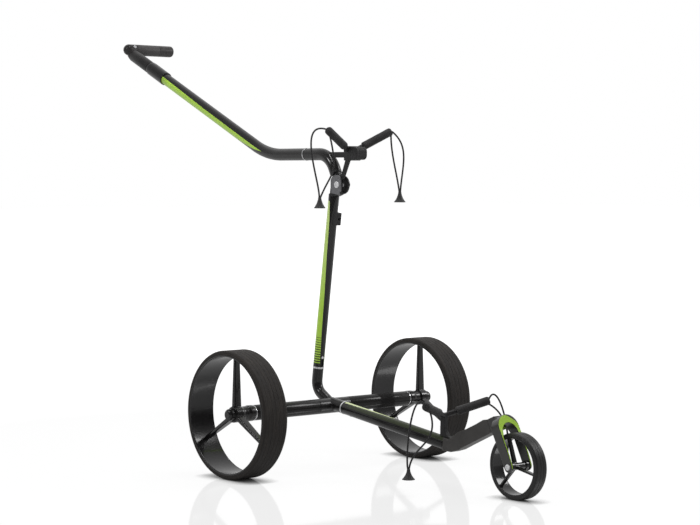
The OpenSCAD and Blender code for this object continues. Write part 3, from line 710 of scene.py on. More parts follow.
def braid(name):
    """Two sets of strands wound opposite ways, six each, 2.4 mm apart along the cord."""
    mat = Finish(name)
    u, v = mat.split_uv()
    around = mat.mul(u, 2 * pi * 6)
    length = mat.mul(v, 1000.0 * 2 * pi / 2.4)
    strands = mat.math("MAXIMUM", mat.math("SINE", mat.add(around, length)),
                       mat.math("SINE", mat.sub(around, length)))
    # lighter on the strands' crowns and darker between them, as the bump rises and falls: painted
    # light and shade
    base = mat.mix(mat.ramp(strands, (-0.2, 1.0)), (0.013, 0.0125, 0.013), (0.042, 0.041, 0.042))
    height = mat.add(strands, mat.mul(mat.noise(scale=3.0), 0.5))
    mat.set(color=base, rough=0.72, normal=mat.bump(height, strength=0.55, depth=0.18),
            sheen=0.2, sheen_rough=0.4, spec=0.35)


def two_tone_spigot(name, matrix):
    """Bright machined shoulder, dark anodised plug."""
    mat = Finish(name)
    height = mat.along_axis(matrix)[1]
    bright = mat.within(height, -4.7, -0.05, soft=0.02)
    lines = mat.noise(scale=1.0, vector=mat.combine(mat.mul(height, 5.0), 0.0, 0.0))
    mat.set(color=mat.mix(bright, (0.02, 0.02, 0.021), (0.80, 0.80, 0.81)),
            metal=mat.lerp(bright, 0.6, 1.0), rough=mat.lerp(lines, 0.18, 0.36),
            normal=mat.bump(lines, strength=0.15, depth=0.03))


def fork_finish(name):
    """Lime on the face that looks forward, dark grey elsewhere."""
    mat = Finish(name)
    forward = (cos(radians(FORK_LEAN)), 0, sin(radians(FORK_LEAN)))
    face = mat.vector("DOT_PRODUCT", mat.coords["Normal"], forward)
    cloud = mat.noise(scale=0.07, detail=4.0, roughness=0.6)
    fine = mat.noise(scale=1.2, detail=3.0, roughness=0.55)
    lime = mat.mottled(cloud, LIME, scaled(LIME, 0.9))
    dark = mat.mottled(cloud, (0.028, 0.027, 0.026), (0.040, 0.039, 0.037))
    # the lime stops short of the arch's outer edge, most of all over its left shoulder
    arch_height, arch_radius = 83.0, 30.0
    offset, height = mat.along_axis(FORK)
    side = mat.split(offset)[1]
    height = mat.sub(height, arch_height)
    above = mat.math("MAXIMUM", height, 0.0)
    from_centre = mat.math("SQRT", mat.add(mat.mul(side, side), mat.mul(above, above)))
    to_edge = mat.sub(arch_radius, from_centre)
    bearing = mat.mul(mat.math("ARCTAN2", height, side), 180.0 / pi)     # degrees from the left
    widened = mat.mul(mat.ramp(bearing, (2.0, 48.0), (0.0, 5.0), smooth=True),
                      mat.ramp(bearing, (60.0, 108.0), (1.0, 0.0), smooth=True))
    margin = mat.add(0.7, widened)
    mask = mat.mul(mat.ramp(face, (0.80, 0.84)),
                   mat.ramp(mat.sub(to_edge, margin), (-0.15, 0.15)))
    mat.set(color=mat.mix(mask, dark, lime), rough=mat.lerp(cloud, 0.28, 0.38), coat=0.5,
            coat_rough=0.12, normal=mat.bump(fine, strength=0.12, depth=0.1))


def cheek_finish(name):
    """Grey bead-blasted face over a black foot and rear edge."""
    mat = Finish(name)
    height = mat.along_axis(UPRIGHT)[1]
    grey = mat.mul(mat.ramp(height, (410.4, 410.9)),
                   mat.ramp(mat.split(mat.mm)[0], (SHIFT_X + 5.0, SHIFT_X + 5.4)),
                   mat.ramp(mat.split(mat.mm)[1], (-3.0, -2.8), (1.0, 0.0)))
    cloud = mat.noise(scale=0.05, detail=4.0, roughness=0.6)
    fine = mat.noise(scale=1.4, detail=3.0, roughness=0.55)
    base = mat.mottled(cloud, (0.19, 0.19, 0.2), (0.24, 0.24, 0.25))
    wear_mask = mat.mul(mat.worn_edges(0.35), mat.ramp(cloud, (0.35, 0.65)))
    base = mat.mix(wear_mask, base, (0.5, 0.5, 0.52))
    mat.set(color=mat.mix(grey, (0.012, 0.0115, 0.012), base), metal=mat.mul(grey, 0.45),
            rough=mat.lerp(cloud, 0.3, 0.42), coat=0.15, coat_rough=0.22,
            normal=mat.bump(fine, strength=0.14, depth=0.10))


def circuit_finish(name):
    """A green board with lighter lines 2.5 mm apart."""
    mat = Finish(name)
    cells = mat.voronoi(scale=0.22)
    line = mat.math("FRACT", mat.mul(mat.split(mat.mm)[1], 0.4))
    mat.set(color=mat.mix(mat.ramp(line, (0.82, 0.86)), (0.01, 0.09, 0.035), (0.03, 0.2, 0.07)),
            rough=mat.ramp(cells, (0.0, 2.0), (0.25, 0.5)), coat=0.4,
            normal=mat.bump(cells, strength=0.2, depth=0.1))


def wire_finish(name):
    """Black behind the axle's middle, red in front of it."""
    mat = Finish(name)
    red = mat.ramp(mat.split(mat.mm)[0], (SHIFT_X - 0.2, SHIFT_X + 0.2))
    fine = mat.noise(scale=0.8)
    mat.set(color=mat.mix(red, (0.012, 0.012, 0.012), (0.35, 0.02, 0.015)),
            rough=mat.lerp(fine, 0.4, 0.55), normal=mat.bump(fine, strength=0.2, depth=0.05))


# ------------------------------------------------------------------ the palette
# The handle's decal is painted darker towards its upper end, and the upright's paler higher up:
# painted shade and painted light.
carbon("carbon_handle", HANDLE_RADIUS, decal=handle_decal,
       painted_decal_light_and_shade=(((DECAL_END - 105) * MM, (DECAL_END - 55) * MM), (0.31, 0.48, 0.055)))
carbon("carbon_upright", UPRIGHT_RADIUS, decal=upright_decal,
       painted_decal_light_and_shade=((0.15, 0.38), (0.68, 0.86, 0.30)))
carbon("carbon_axle", AXLE_TUBE_RADIUS, edge=0.5, coat=0.4)
carbon("carbon_stub", UPRIGHT_RADIUS)
# the pale wedge on the lower tube is a painted highlight along its upper side
carbon("carbon_lower", LOWER_RADIUS, edge=1.0, coat=0.6,
       tints_and_painted_highlights=((olive_top, (0.026, 0.036, 0.010)), (painted_highlight_wedge, (0.66, 0.76, 0.36))))
gloss("gloss_black", (0.008, 0.0075, 0.008), rough=(0.16, 0.26), coat=0.35)
gloss("spoke_black", (0.0058, 0.0052, 0.0054), rough=(0.15, 0.25), coat=0.4)
satin("satin_black", (0.017, 0.0165, 0.017))
satin("lug_black", (0.0095, 0.009, 0.009), rough=(0.24, 0.34), coat=0.5, bump=0.1, spec=0.3)
satin("machined_shoulder", (0.74, 0.74, 0.75), rough=(0.24, 0.34), metal=0.15, grain=0.9,
      bump=0.05, wear=0.2, worn=(0.9, 0.9, 0.9), coat=0.2)
satin("bracket_black", (0.0135, 0.013, 0.0135), rough=(0.42, 0.54), grain=2.0, bump=0.3, coat=0.0)
satin("wing_black", (0.044, 0.0415, 0.0395), rough=(0.38, 0.44), grain=1.2, bump=0.07, coat=0.12)
satin("matte_plastic", (0.019, 0.0185, 0.0195), rough=(0.46, 0.58), grain=2.2, bump=0.32,
      coat=0.0)
satin("toggle_rubber", (0.030, 0.0295, 0.030), rough=(0.5, 0.62), grain=2.0, bump=0.2, coat=0.0,
      sheen=0.1)
ALUMINIUM = {"color": (0.80, 0.80, 0.81), "rough": (0.16, 0.3)}
turned("turned_aluminium", **ALUMINIUM)
turned("turned_aluminium_upper", **ALUMINIUM, axis=z_axis(UPRIGHT))
turned("turned_aluminium_lower", **ALUMINIUM, axis=z_axis(LOWER))
turned("ground_steel", color=(0.58, 0.58, 0.6), rough=(0.22, 0.36))
satin("bolt_steel", (0.72, 0.72, 0.73), rough=(0.26, 0.36), metal=0.1, grain=0.9, bump=0.05,
      wear=0.2, worn=(0.85, 0.85, 0.86), coat=0.2)
tyre_rubber("tyre_rubber", (0.0215, 0.0190, 0.0178), dust=0.62,
            dust_color=(0.068, 0.058, 0.050), rough=(0.60, 0.84), spec=0.36)
tyre_rubber("front_tyre_rubber", (0.0165, 0.0160, 0.0160), dust=0.15,
            dust_color=(0.030, 0.029, 0.028), rough=(0.38, 0.52), spec=0.5)
foam("arm_foam", (0.028, 0.0272, 0.0275))
soft("grip_rubber", (0.048, 0.0448, 0.0448), rough=(0.42, 0.56))
soft("elbow_black", (0.019, 0.0175, 0.0175), rough=(0.30, 0.42))
soft("pad_rubber", (0.020, 0.0195, 0.020), rough=(0.5, 0.64))
braid("elastic_cord")
soft("dial_rubber", (0.038, 0.0352, 0.0352), rough=(0.34, 0.46))
# the power key's light grey also stands for a glint on the elbow: partly a painted highlight
satin("key_grey_painted_glint", (0.42, 0.42, 0.43), rough=(0.3, 0.42), metal=0.3, worn=(0.7, 0.7, 0.7),
      bump=0.1)
soft("sleeve_black", (0.0155, 0.0145, 0.0145), rough=(0.26, 0.38))
two_tone_spigot("upper_spigot_finish", UPRIGHT)
two_tone_spigot("front_spigot_finish", LOWER)
fork_finish("fork_lime")
cheek_finish("cheek_two_tone")
circuit_finish("circuit_board")
wire_finish("wire_insulation")
soft("cable_jacket", (0.014, 0.014, 0.014), rough=(0.4, 0.5))


def place(obj, body, finish, slot, *nodes):
    """Rides obj on a body, gives it its finish and lets it stand for CAD nodes."""
    obj.data.materials.clear()
    obj.data.materials.append(FINISHES[finish])
    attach(obj, body)
    if nodes:
        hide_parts(*nodes)


def recast(name, node, voxel, rounds, body, finish, slot):
    """Replaces a CAD node by a moulded copy of itself."""
    place(cast(cad_copy(name, node), voxel, rounds), body, finish, slot, node)


def refinish(node, finish):
    """Gives a CAD node, kept as it is, a finish."""
    obj = NODES[node]
    if not obj.material_slots:
        obj.data.materials.append(FINISHES[finish])
    for slot in obj.material_slots:
        slot.material = FINISHES[finish]


# ------------------------------------------------------------------ wheel parts
def tyre_profile(radius, width, bead, shoulder, grooves, pitch, groove_width, groove_depth,
                 seat):
    """The outside of a tyre from one bead over the tread to the other, then the inside.
    bead is a radius, shoulder a corner radius and seat half the width of the inside."""
    half, groove_half = width / 2, groove_width / 2
    inner = radius - shoulder
    side = [(bead, -half + 0.4), (bead + 0.5, -half), (inner - 1.6, -half),
            (inner - 1.0, -half + 0.35)]
    side += [(inner + shoulder * sin(a), -half + shoulder - shoulder * cos(a) * 0.96)
             for a in (radians(d) for d in range(10, 91, 10))]

    def crown(z):
        return radius - 0.35 * (z / half) ** 2

    tread = []
    for k in range(grooves):
        z = (k - (grooves - 1) / 2) * pitch
        tread += [(crown(z - groove_width), z - groove_half - 0.5),
                  (crown(z) - 0.25, z - groove_half - 0.12),
                  (radius - groove_depth, z - groove_half + 0.15),
                  (radius - groove_depth, z + groove_half - 0.15),
                  (crown(z) - 0.25, z + groove_half + 0.12),
                  (crown(z + groove_width), z + groove_half + 0.5)]
    inside = [(bead, half - 1.9), (bead - 0.15, seat), (bead - 0.15, -seat),
              (bead, -seat + 0.1)]
    return side + tread + mirror(side) + inside


def barrel(name, half, radii, matrix, sides):
    """The rim's barrel from half its (radius, z) profile and that half's corner radii."""
    profile = rounded(half + mirror(half), radii + radii[::-1], 3)
    return lathe(name, profile, matrix, sides, sharp=45)


def spoke(radii, widths, depths, degrees, matrix):
    """A tapered spoke with a rounded box section. Each pair runs from the hub outwards."""
    verts, faces, sides, rows = [], [], 20, 14
    for i in range(rows + 1):
        radius, width, depth = (a + (b - a) * (i / rows) for a, b in (radii, widths, depths))
        for k in range(sides):
            ca, sa = cos(2 * pi * k / sides), sin(2 * pi * k / sides)
            x = math.copysign(abs(ca) ** 0.42, ca) * width / 2
            z = math.copysign(abs(sa) ** 0.42, sa) * depth / 2
            verts.append((x, radius, z))
    for i in range(rows):
        for k in range(sides):
            q = (k + 1) % sides
            faces.append((i * sides + k, i * sides + q, (i + 1) * sides + q, (i + 1) * sides + k))
    faces += [tuple(range(sides)), tuple(rows * sides + k for k in range(sides))]
    turn = Matrix.Rotation(radians(degrees), 4, "Z")
    return make("spoke", verts, faces, matrix @ turn, sharp=60)


def spider(name, parts, voxel, rounds, cuts, matrix):
    """Spokes and hub as one casting, bored by cuts of (profile, sides)."""
    obj = joined(name, parts)
    cast(obj, voxel, rounds)
    subtract(obj, [lathe("cutter", profile, matrix, sides) for profile, sides in cuts])
    smooth(obj)
    return obj


# ------------------------------------------------------------------ rear wheels
# (radius, z), with z outwards from the wheel's middle
BARREL_HALF = [(132.0, -30.2), (131.55, -31.6), (132.1, -32.7), (133.6, -32.9), (134.95, -32.5)]
HUB = [(6.1, -42.9), (17.2, -42.9), (18.2, -41.6), (18.2, -30), (17.0, -26), (16.6, -14),
       (17.4, -9.6), (18.2, -8), (18.2, 11.0), (17.2, 12.4), (13.65, 12.4), (13.65, 5.6),
       (6.1, 5.6)]
HUB_CUTS = [([(6.1, -60), (6.1, 60), (0, 60), (0, -60)], 48),
            ([(13.65, 5.4), (13.65, 60), (0, 60), (0, 5.4)], 64)]
CAP = [(10.0, 9.6), (13.3, 9.6), (13.5, 10.2), (13.5, 13.2), (12.9, 13.9), (12.9, 15.0),
       (13.5, 15.7), (13.5, 19.5)]
CAP += [(6 + 7.5 * cos(a), 20 + 7.5 * sin(a)) for a in (radians(d) for d in range(5, 90, 7))]
CAP += [(5.2, 27.5), (4.9, 27.2), (4.2, 27.1), (0, 27.45), (0, 16.2), (10.0, 16.2)]

for side, sign in SIDES.items():
    wheel, body = side_frame(sign, WHEEL_DISTANCE), side + "_wheel"
    tread = tyre_profile(WHEEL_RADIUS, width=66, bead=135.3, shoulder=6.0, grooves=5, pitch=10.4,
                         groove_width=0.9, groove_depth=0.55, seat=31.2)
    place(lathe(side + "_tread", tread, wheel, 224, sharp=30),
          body, "tyre_rubber", "tyre", side + "_tyre")
    place(barrel(side + "_barrel", BARREL_HALF, [0.8, 0.5, 0.5, 0.5, 0], wheel, 224),
          body, "gloss_black", "gloss_black", side + "_rim")
    parts = [spoke((8, 132.6), (11.5, 6.6), (22, 15), turn, wheel) for turn in (0, 120, 240)]
    parts.append(lathe("hub", rounded(HUB, 0.6, 3), wheel, 72))
    place(spider(side + "_spider", parts, 0.85, 5, HUB_CUTS, wheel),
          body, "spoke_black", "gloss_black", side + "_rim")
    place(lathe(side + "_hub_button", CAP, wheel, 72, sharp=40),
          side + "_cap", "gloss_black", "gloss_black", side + "_hub_cap")
    refinish(side + "_cap_spring", "ground_steel")
    refinish(side + "_drive_shaft", "ground_steel")

# ------------------------------------------------------------------ axle and chassis
AXLE_BORE, AXLE_TUBE_END = AXLE_TUBE_RADIUS - TUBE_WALL, 231.9
AXLE_PLUG = [(12.05, 228.0), (12.05, 208.0), (15.4, 208.0), (15.4, 231.95), (7.5, 231.95),
             (7.5, 228.0)]
for side, sign in SIDES.items():
    half_axle = side_frame(sign)
    tube = ring(AXLE_BORE, AXLE_TUBE_RADIUS, 46.1, AXLE_TUBE_END, [0, 0.35, 0.35, 0])
    place(lathe("axle_tube_" + side, tube, half_axle, 96, sharp=30),
          "chassis", "carbon_axle", "carbon", "axle_tubes")
    flange = ring(7.5, AXLE_TUBE_RADIUS, 232.0, 235.0, [0, 0.4, 0.7, 0.4])
    axle_end = joined("axle_end_" + side, [lathe("flange", flange, half_axle, 96, sharp=30),
                                           lathe("plug", AXLE_PLUG, half_axle, 64, sharp=30)])
    smooth(axle_end, 35)
    place(axle_end, "chassis", "turned_aluminium", "silver", "axle_ends")

recast("centre_casting", "center_lug", 0.75, 6, "chassis", "lug_black", "black_metal")


def rear_stub():
    """The bent tube from the centre casting up to the upright's foot."""
    start = Vector((0, 0, 147))
    start_heading = Vector((-56, 0, 33)).normalized()
    end = Vector(UPRIGHT_FOOT)
    lean = radians(UPRIGHT_LEAN)
    end_heading = Vector((sin(lean), 0, cos(lean)))
    path = dense([start + start_heading * 18]
                 + corner(start, end - end_heading * 53.5, end, 33, 24)
                 + [end - end_heading * 4.7], 6)
    return sweep("rear_stub_tube", path, UPRIGHT_RADIUS, (0, 1, 0), 64)


place(rear_stub(), "chassis", "carbon_stub", "carbon", "rear_stub")

# name, frame, tube radius, radius where the snap pin starts
SPIGOTS = (("upper", UPRIGHT, UPRIGHT_RADIUS, 5.3), ("front", LOWER, LOWER_RADIUS, 6.4))
for name, matrix, radius, _ in SPIGOTS:
    refinish(name + "_spigot", name + "_spigot_finish")
    shoulder = ring(radius - 0.5, radius + 0.6, -4.5, -0.12, [0, 0.5, 0.5, 0])
    place(lathe(name + "_shoulder", shoulder, matrix), "chassis", "machined_shoulder", "silver")
for name, matrix, radius, base in SPIGOTS:
    pin_frame = matrix @ frame_of((0, 0, PIN_HEIGHT), (0, 0, -1), (0, 1, 0), (1, 0, 0))
    pin = [(0, base), (3.7, base), (3.9, base + 0.2), (3.9, base + 1.5), (3.2, base + 1.5),
           (3.2, radius), (3.05, radius + 0.45), (2.6, radius + 0.8), (1.6, radius + 0.97),
           (0, radius + 1.0)]
    place(lathe(name + "_snap_button_pin", pin, pin_frame, 48, sharp=40),
          name + "_button", "bolt_steel", "silver", name + "_snap_button")

for node, finish in (
        ("axle_bearings", "ground_steel"), ("motors", "ground_steel"),
        ("gearboxes", "turned_aluminium"), ("motor_controller", "circuit_board"),
        ("axle_wiring", "wire_insulation"), ("battery_socket", "matte_plastic"),
        ("spigot_connector", "matte_plastic"), ("snap_springs", "ground_steel"),
        ("frame_cable", "cable_jacket"), ("handle_cable", "cable_jacket"),
        ("front_bearings", "ground_steel")):
    refinish(node, finish)


# ------------------------------------------------------------------ upright and lower tube
def straight_uv(obj, matrix):
    """UV on a straight tube: u round from its local x, v in metres along its z."""
    inverse, mesh = matrix.inverted(), obj.data
    layer = mesh.uv_layers.get("UVMap") or mesh.uv_layers.new(name="UVMap")
    for polygon in mesh.polygons:
        points = [inverse @ (mesh.vertices[mesh.loops[loop].vertex_index].co / MM)
                  for loop in polygon.loop_indices]
        us = [(atan2(p.y, p.x) / (2 * pi)) % 1.0 for p in points]
        if max(us) - min(us) > 0.5:
            us = [u + 1.0 if u < 0.5 else u for u in us]
        for loop, p, u in zip(polygon.loop_indices, points, us):
            layer.data[loop].uv = (u, p.z * MM)


def slotted_tube(name, radius, length, matrix):
    """A carbon tube with an open slot for the snap pin at its foot, on its local +x side."""
    profile = ring(radius - TUBE_WALL, radius, 0, length, [0.2, 0.4, 0.4, 0.2])
    tube = lathe(name, profile, matrix, 96, sharp=30)
    half, top = SLOT_HALF_WIDTH, PIN_HEIGHT + SLOT_HALF_WIDTH
    outline = rounded([(-half, -4.0), (half, -4.0), (half, top), (-half, top)],
                      [0, 0, half, half], 10)
    subtract(tube, [prism("cutter", outline, 5.0, 20.0, matrix @ SWAP_XY)])
    smooth(tube, 30)
    straight_uv(tube, matrix)
    return tube


place(slotted_tube("upright_carbon", UPRIGHT_RADIUS, UPRIGHT_LENGTH, UPRIGHT),
      "upright", "carbon_upright", "carbon_green", "upright_tube")
place(slotted_tube("lower_carbon", LOWER_RADIUS, LOWER_LENGTH, LOWER),
      "front_frame", "carbon_lower", "carbon", "lower_tube")

# ------------------------------------------------------------------ fold hinge
HINGE = BODY @ Matrix.Translation((26.0, 0, 660.0)) @ ALONG_Y

recast("hinge_cheek", "hinge_fork", 0.5, 5, "upright", "cheek_two_tone", "grey_metal")
washer = [(4.05, 9.0), (21.8, 9.0), (21.8, 14.0), (17.2, 14.0), (16.4, 13.3), (9.4, 13.3),
          (8.8, 14.0), (4.05, 14.0)]
washer = rounded(washer, [0, 0.9, 1.4, 0.4, 0.3, 0.3, 0.3, 0], 4)
place(lathe("hinge_washer", washer, HINGE, 96, sharp=40),
      "upright", "satin_black", "black_metal", "hinge_disc")


def hinge_screw():
    """The socket head, a spacer and the shank."""
    profile = [(0, -10.6), (6.6, -10.6), (7.8, -9.4), (7.8, -7.55), (0, -7.55)]
    head = lathe("head", rounded(profile, [0, 0.5, 0.6, 0.3, 0], 4), HINGE, 64, sharp=40)
    hex_socket(head, 3.1, -12, -8.7, -8.2, HINGE)
    spacer = lathe("spacer", ring(4.0, 6.0, 3.7, 8.95, [0, 0.4, 0.4, 0]), HINGE, 64)
    shank = lathe("shank", [(0, -8.3), (4, -8.3), (4, 23.9), (3.4, 24.5), (0, 24.5)], HINGE, 48)
    screw = joined("hinge_screw", [head, spacer, shank])
    smooth(screw, 35)
    return screw


place(hinge_screw(), "upright", "bolt_steel", "steel", "hinge_bolt")
recast("accessory_mount", "accessory_block", 0.45, 4, "upright", "matte_plastic", "plastic")
recast("clamp_handwheel", "clamp_knob", 0.5, 6, "knob", "matte_plastic", "plastic")
recast("hinge_knuckle", "hinge_tongue", 0.5, 5, "handle", "satin_black", "black_metal")

# ------------------------------------------------------------------ handle
GRIP_X, GRIP_Z = -824.5, 1010
GRIP = BODY @ Matrix.Translation((GRIP_X, 0, GRIP_Z)) @ ALONG_Y
GRIP_RADIUS = 14.5
POWER = BODY @ tilted((GRIP_X, 4, GRIP_Z), 55)

place(sweep("handle_carbon", HANDLE_PATH, HANDLE_RADIUS, (0, 1, 0), 72),
      "handle", "carbon_handle", "carbon", "handle_tube")
ferrule = ring(HANDLE_RADIUS + 0.1, HANDLE_RADIUS + 0.6, 0, 3, [0, 0.25, 0.25, 0])
place(lathe("handle_ferrule", ferrule, BODY @ along((-92, 0, LEVEL), (-1, 0, 0))),
      "handle", "turned_aluminium", "silver", "handle_ring")


def slope_lathe(name, x, profile, radii, steps):
    """A sleeve on the long slope from x upwards. profile is (height above the tube, z)."""
    points = rounded([(HANDLE_RADIUS + height, z) for height, z in profile], radii, steps)
    return lathe(name, points, BODY @ along(on_slope(x), SLOPE_HEADING), 96, sharp=40)


collar = [(0.15, 0.4), (1.6, 0.0), (2.6, 0.9), (2.8, 3.0), (2.8, 58), (2.7, 68), (2.2, 72.4),
          (1.4, 74.0), (0.15, 74.0)]
place(slope_lathe("badge_collar", -667, collar, [0, 0.4, 0.8, 1.2, 3, 3, 1, 0.5, 0], 4),
      "handle", "gloss_black", "gloss_black", "handle_collar")
sleeve = [(0.15, 0.3), (1.4, 0.3), (1.4, 83.5), (0.15, 83.8)]
place(slope_lathe("neck_sleeve", -735, sleeve, [0, 0.5, 0.6, 0], 3),
      "handle", "sleeve_black", "soft_black", "handle_sleeve")

elbow = cast(cad_copy("elbow_casting", "handle_head"), 0.6, 7)
key_well = [(0, 4.7), (3.3, 4.7), (3.3, 8.0), (4.8, 8.0), (4.8, 24), (0, 24)]
subtract(elbow, [lathe("cutter", key_well, POWER, 64)])
elbow.data.set_sharp_from_angle(angle=radians(45))
place(elbow, "handle", "elbow_black", "black_metal", "handle_head")

place(lathe("grip_rubber_sleeve", ring(9.1, GRIP_RADIUS, 14.1, 83.0, [0, 0.4, 0.7, 0]), GRIP,
            96, sharp=40), "handle", "grip_rubber", "soft_black", "grip_sleeve")
dial = [(9.06, 83.2), (GRIP_RADIUS, 83.2), (GRIP_RADIUS, 122.5), (13.6, 126.2), (11.2, 127.8),
        (0, 128.0), (0, 100.5), (9.06, 100.5)]
dial = rounded(dial, [0, 0.7, 2.5, 2.0, 1.5, 0, 0, 0], 5)
place(lathe("twist_dial", dial, GRIP, 96, sharp=40),
      "dial", "dial_rubber", "plastic", "speed_dial")
# The power key sits where a glint shows on the elbow; its light grey is partly a painted
# highlight.
key = [(0, 7.0), (2.9, 7.0), (2.9, 10.6), (4.45, 10.6), (4.45, 14.5), (3.4, 15.3), (0, 15.4)]
place(lathe("power_key", rounded(key, [0, 0, 0, 0.2, 0.8, 0.8, 0], 4), POWER, 48, sharp=40),
      "power", "key_grey_painted_glint", "silver", "power_button")

# ------------------------------------------------------------------ bag brackets
recast("upper_yoke", "upper_bracket", 0.6, 9, "handle", "bracket_black", "black_metal")
recast("lower_yoke", "lower_bracket", 0.6, 9, "front_frame", "bracket_black", "black_metal")

PAD_BACK, PAD_NOSE, PAD_NOSE_RADIUS = 84.3, 106, 11
PAD_BOTTOM, PAD_TOP = 717.6, 747.4
PAD_HALF_WIDTH = 15.9
GROOVE_Y, GROOVE_HALF_WIDTH, GROOVE_DEPTH = 8.5, 1.3, 0.55


def bag_pad():
    """A moulded rubber block with a rounded nose, crowned faces and two shallow grooves."""
    outline = rounded([(PAD_BACK, PAD_BOTTOM), (PAD_NOSE, PAD_BOTTOM), (PAD_NOSE, PAD_TOP),
                       (PAD_BACK, PAD_TOP)], [1.5, PAD_NOSE_RADIUS, PAD_NOSE_RADIUS, 1.5], 8)
    pad = prism("bag_pad", outline, -PAD_HALF_WIDTH, PAD_HALF_WIDTH, BODY)
    bm = bmesh.new()
    bm.from_mesh(pad.data)
    rim = [e for e in bm.edges if len(e.link_faces) == 2 and e.calc_face_angle(0) > radians(60)]
    bmesh.ops.bevel(bm, geom=rim, offset=3.4 * MM, segments=6, profile=0.5, affect="EDGES",
                    clamp_overlap=True)
    bm.to_mesh(pad.data)
    bm.free()
    smooth(pad)
    cast(pad, 0.55, 6)
    for vertex in pad.data.vertices:
        x, y, z = vertex.co / MM
        for groove in (-GROOVE_Y, GROOVE_Y):
            gap = abs(y - groove)
            if gap < GROOVE_HALF_WIDTH and x - SHIFT_X > 86:
                outward = Vector((max(0.0, x - SHIFT_X - (PAD_NOSE - PAD_NOSE_RADIUS)), 0,
                                  z - (PAD_BOTTOM + PAD_TOP) / 2))
                if outward.length > 1:
                    depth = GROOVE_DEPTH * (1 - gap / GROOVE_HALF_WIDTH)
                    vertex.co -= outward.normalized() * depth * MM
    return pad


place(bag_pad(), "handle", "pad_rubber", "soft_black", "upper_bag_pad")


def arm_sleeve(name, root, tip, start_share, phase):
    """A foam sleeve with a slightly wavy side, from a share of the arm's length to its tip."""
    bore = 4.15
    length = (tip - root).length
    start = length * start_share
    profile = [(bore, start), (8.6, start), (9.5, start + 1.4), (9.45, start + 6)]
    for i in range(1, 9):
        z = start + 6 + (length * 0.93 - start - 6) * i / 9
        profile.append((9.5 - 0.16 * (0.5 + 0.5 * sin(i * 2.1 + phase)), z))
    profile += [(radius, length * share) for radius, share in (
        (9.45, 0.945), (9.2, 0.972), (8.0, 0.992), (5.6, 0.999), (0, 1.0), (0, 0.93),
        (bore, 0.93))]
    profile = rounded(profile, [0, 0.8, 1.0] + [0] * (len(profile) - 3), 4)
    return lathe(name, profile, BODY @ along(root, tip - root, (1, 0, 0)), 72, sharp=45)


BRACKET_BODY = {"upper": "handle", "lower": "front_frame"}
CORD_X = {"upper": 99.4, "lower": 427}      # the plane of a bracket's cords
# root and tip of the left arm, share of its length where the foam starts
ARMS = {"upper": ((72, 12, 740), (98.6, 95, 784), 0.2),
        "lower": ((386, 5, 158.5), (427, 95.5, 187.5), 0.24)}
for name, (root, tip, start_share) in ARMS.items():
    for side, sign in SIDES.items():
        ends = [Vector((x, y * sign, z)) for x, y, z in (root, tip)]
        phase = 0.7 if sign > 0 else 0.0
        place(arm_sleeve("%s_sleeve_%s" % (name, side), *ends, start_share, phase),
              BRACKET_BODY[name], "arm_foam", "soft_black", name + "_arm_sleeves")

# Bezier points (y, z) of each strand
CORDS = {
    ("upper", "right"): [((-98, 785), (-190, 807), (-118, 666), (-121.1, 631)),
                         ((-92, 777), (-62, 679), (-85, 694), (-118.1, 631))],
    ("upper", "left"): [((94, 777), (94, 730), (113, 687), (120.6, 643)),
                        ((98, 783), (154, 750), (129, 703), (123.6, 643))],
    ("lower", "right"): [((-94, 190), (-139, 239), (-154, 74), (-145.1, 56.5)),
                         ((-84, 180), (-48, 101), (-134, 111), (-142.1, 56.5))],
    ("lower", "left"): [((94, 189), (118, 235), (166, 122), (151.5, 57.5)),
                        ((92, 180), (139, 161), (168, 110), (148.5, 57.5))]}
for (name, side), strands in CORDS.items():
    for number, points in enumerate(strands, 1):
        path = bezier([(CORD_X[name], y, z) for y, z in points])
        place(sweep("%s_cord_%s_%d" % (name, side, number), path, 2.0, (1, 0, 0), 16,
                    rounded_ends=True),
              BRACKET_BODY[name], "elastic_cord", "cord", name + "_cords")


def bell(name, position, height, radius):
    """A hollow bell with a narrow neck."""
    flare = radius / 15.0
    outside = [(0, height + 3.0), (3.0, height + 3.0), (3.6, height + 2.3), (3.75, height + 0.4),
               (4.1, height - 2), (5.3, height - 6), (7.9 * flare, height * 0.48),
               (10.9 * flare, height * 0.27), (13.3 * flare, height * 0.13),
               (radius - 0.4, 1.9), (radius, 1.0), (radius - 0.3, 0.25), (radius - 1.2, 0)]
    inside = [(radius - 1.8, 0.5), (11.2 * flare, height * 0.09), (8.0 * flare, height * 0.2),
              (5.2 * flare, height * 0.40), (2.2, height * 0.6), (0, height * 0.62)]
    return lathe(name, outside + inside, BODY @ Matrix.Translation(position), 72, sharp=50)


# bracket, side, y and z of the mouth, height, radius
for name, side, y, z, height, radius in (
        ("upper", "right", -119.6, 607.5, 22, 13.6), ("upper", "left", 122.1, 619.5, 22, 13.6),
        ("lower", "right", -143.6, 34.5, 20, 13.8), ("lower", "left", 150, 35.5, 20, 13.8)):
    place(bell("%s_bell_%s" % (name, side), (CORD_X[name], y, z), height, radius),
          BRACKET_BODY[name], "toggle_rubber", "plastic", name + "_toggles")

# ------------------------------------------------------------------ front frame
recast("wing_casting", "wing_beam", 0.7, 6, "front_frame", "wing_black", "carbon")
recast("fork_casting", "front_fork", 0.55, 4, "front_frame", "fork_lime", "lime_metal")


def fork_spindle():
    """The front axle, with a head on each side. The right head has a socket."""
    matrix = FORK @ ALONG_Y
    parts = []
    for sign, outer, inner in ((-1, -33.4, -30.05), (1, 35.0, 30.05)):
        profile = [(0, outer), (5.4, outer), (6.4, outer - sign * 1.0), (6.4, inner), (0, inner)]
        head = lathe("head", rounded(profile, [0, 0.5, 0.5, 0.2, 0], 4), matrix, 64, sharp=40)
        if sign < 0:
            hex_socket(head, 2.6, outer - 1.5, outer + 1.9, outer + 2.2, matrix)
        parts.append(head)
    parts.append(lathe("shank", [(0, -32), (4, -32), (4, 33), (0, 33)], matrix, 48))
    spindle = joined("fork_spindle", parts)
    smooth(spindle, 35)
    return spindle


place(fork_spindle(), "front_frame", "bolt_steel", "steel", "front_axle")

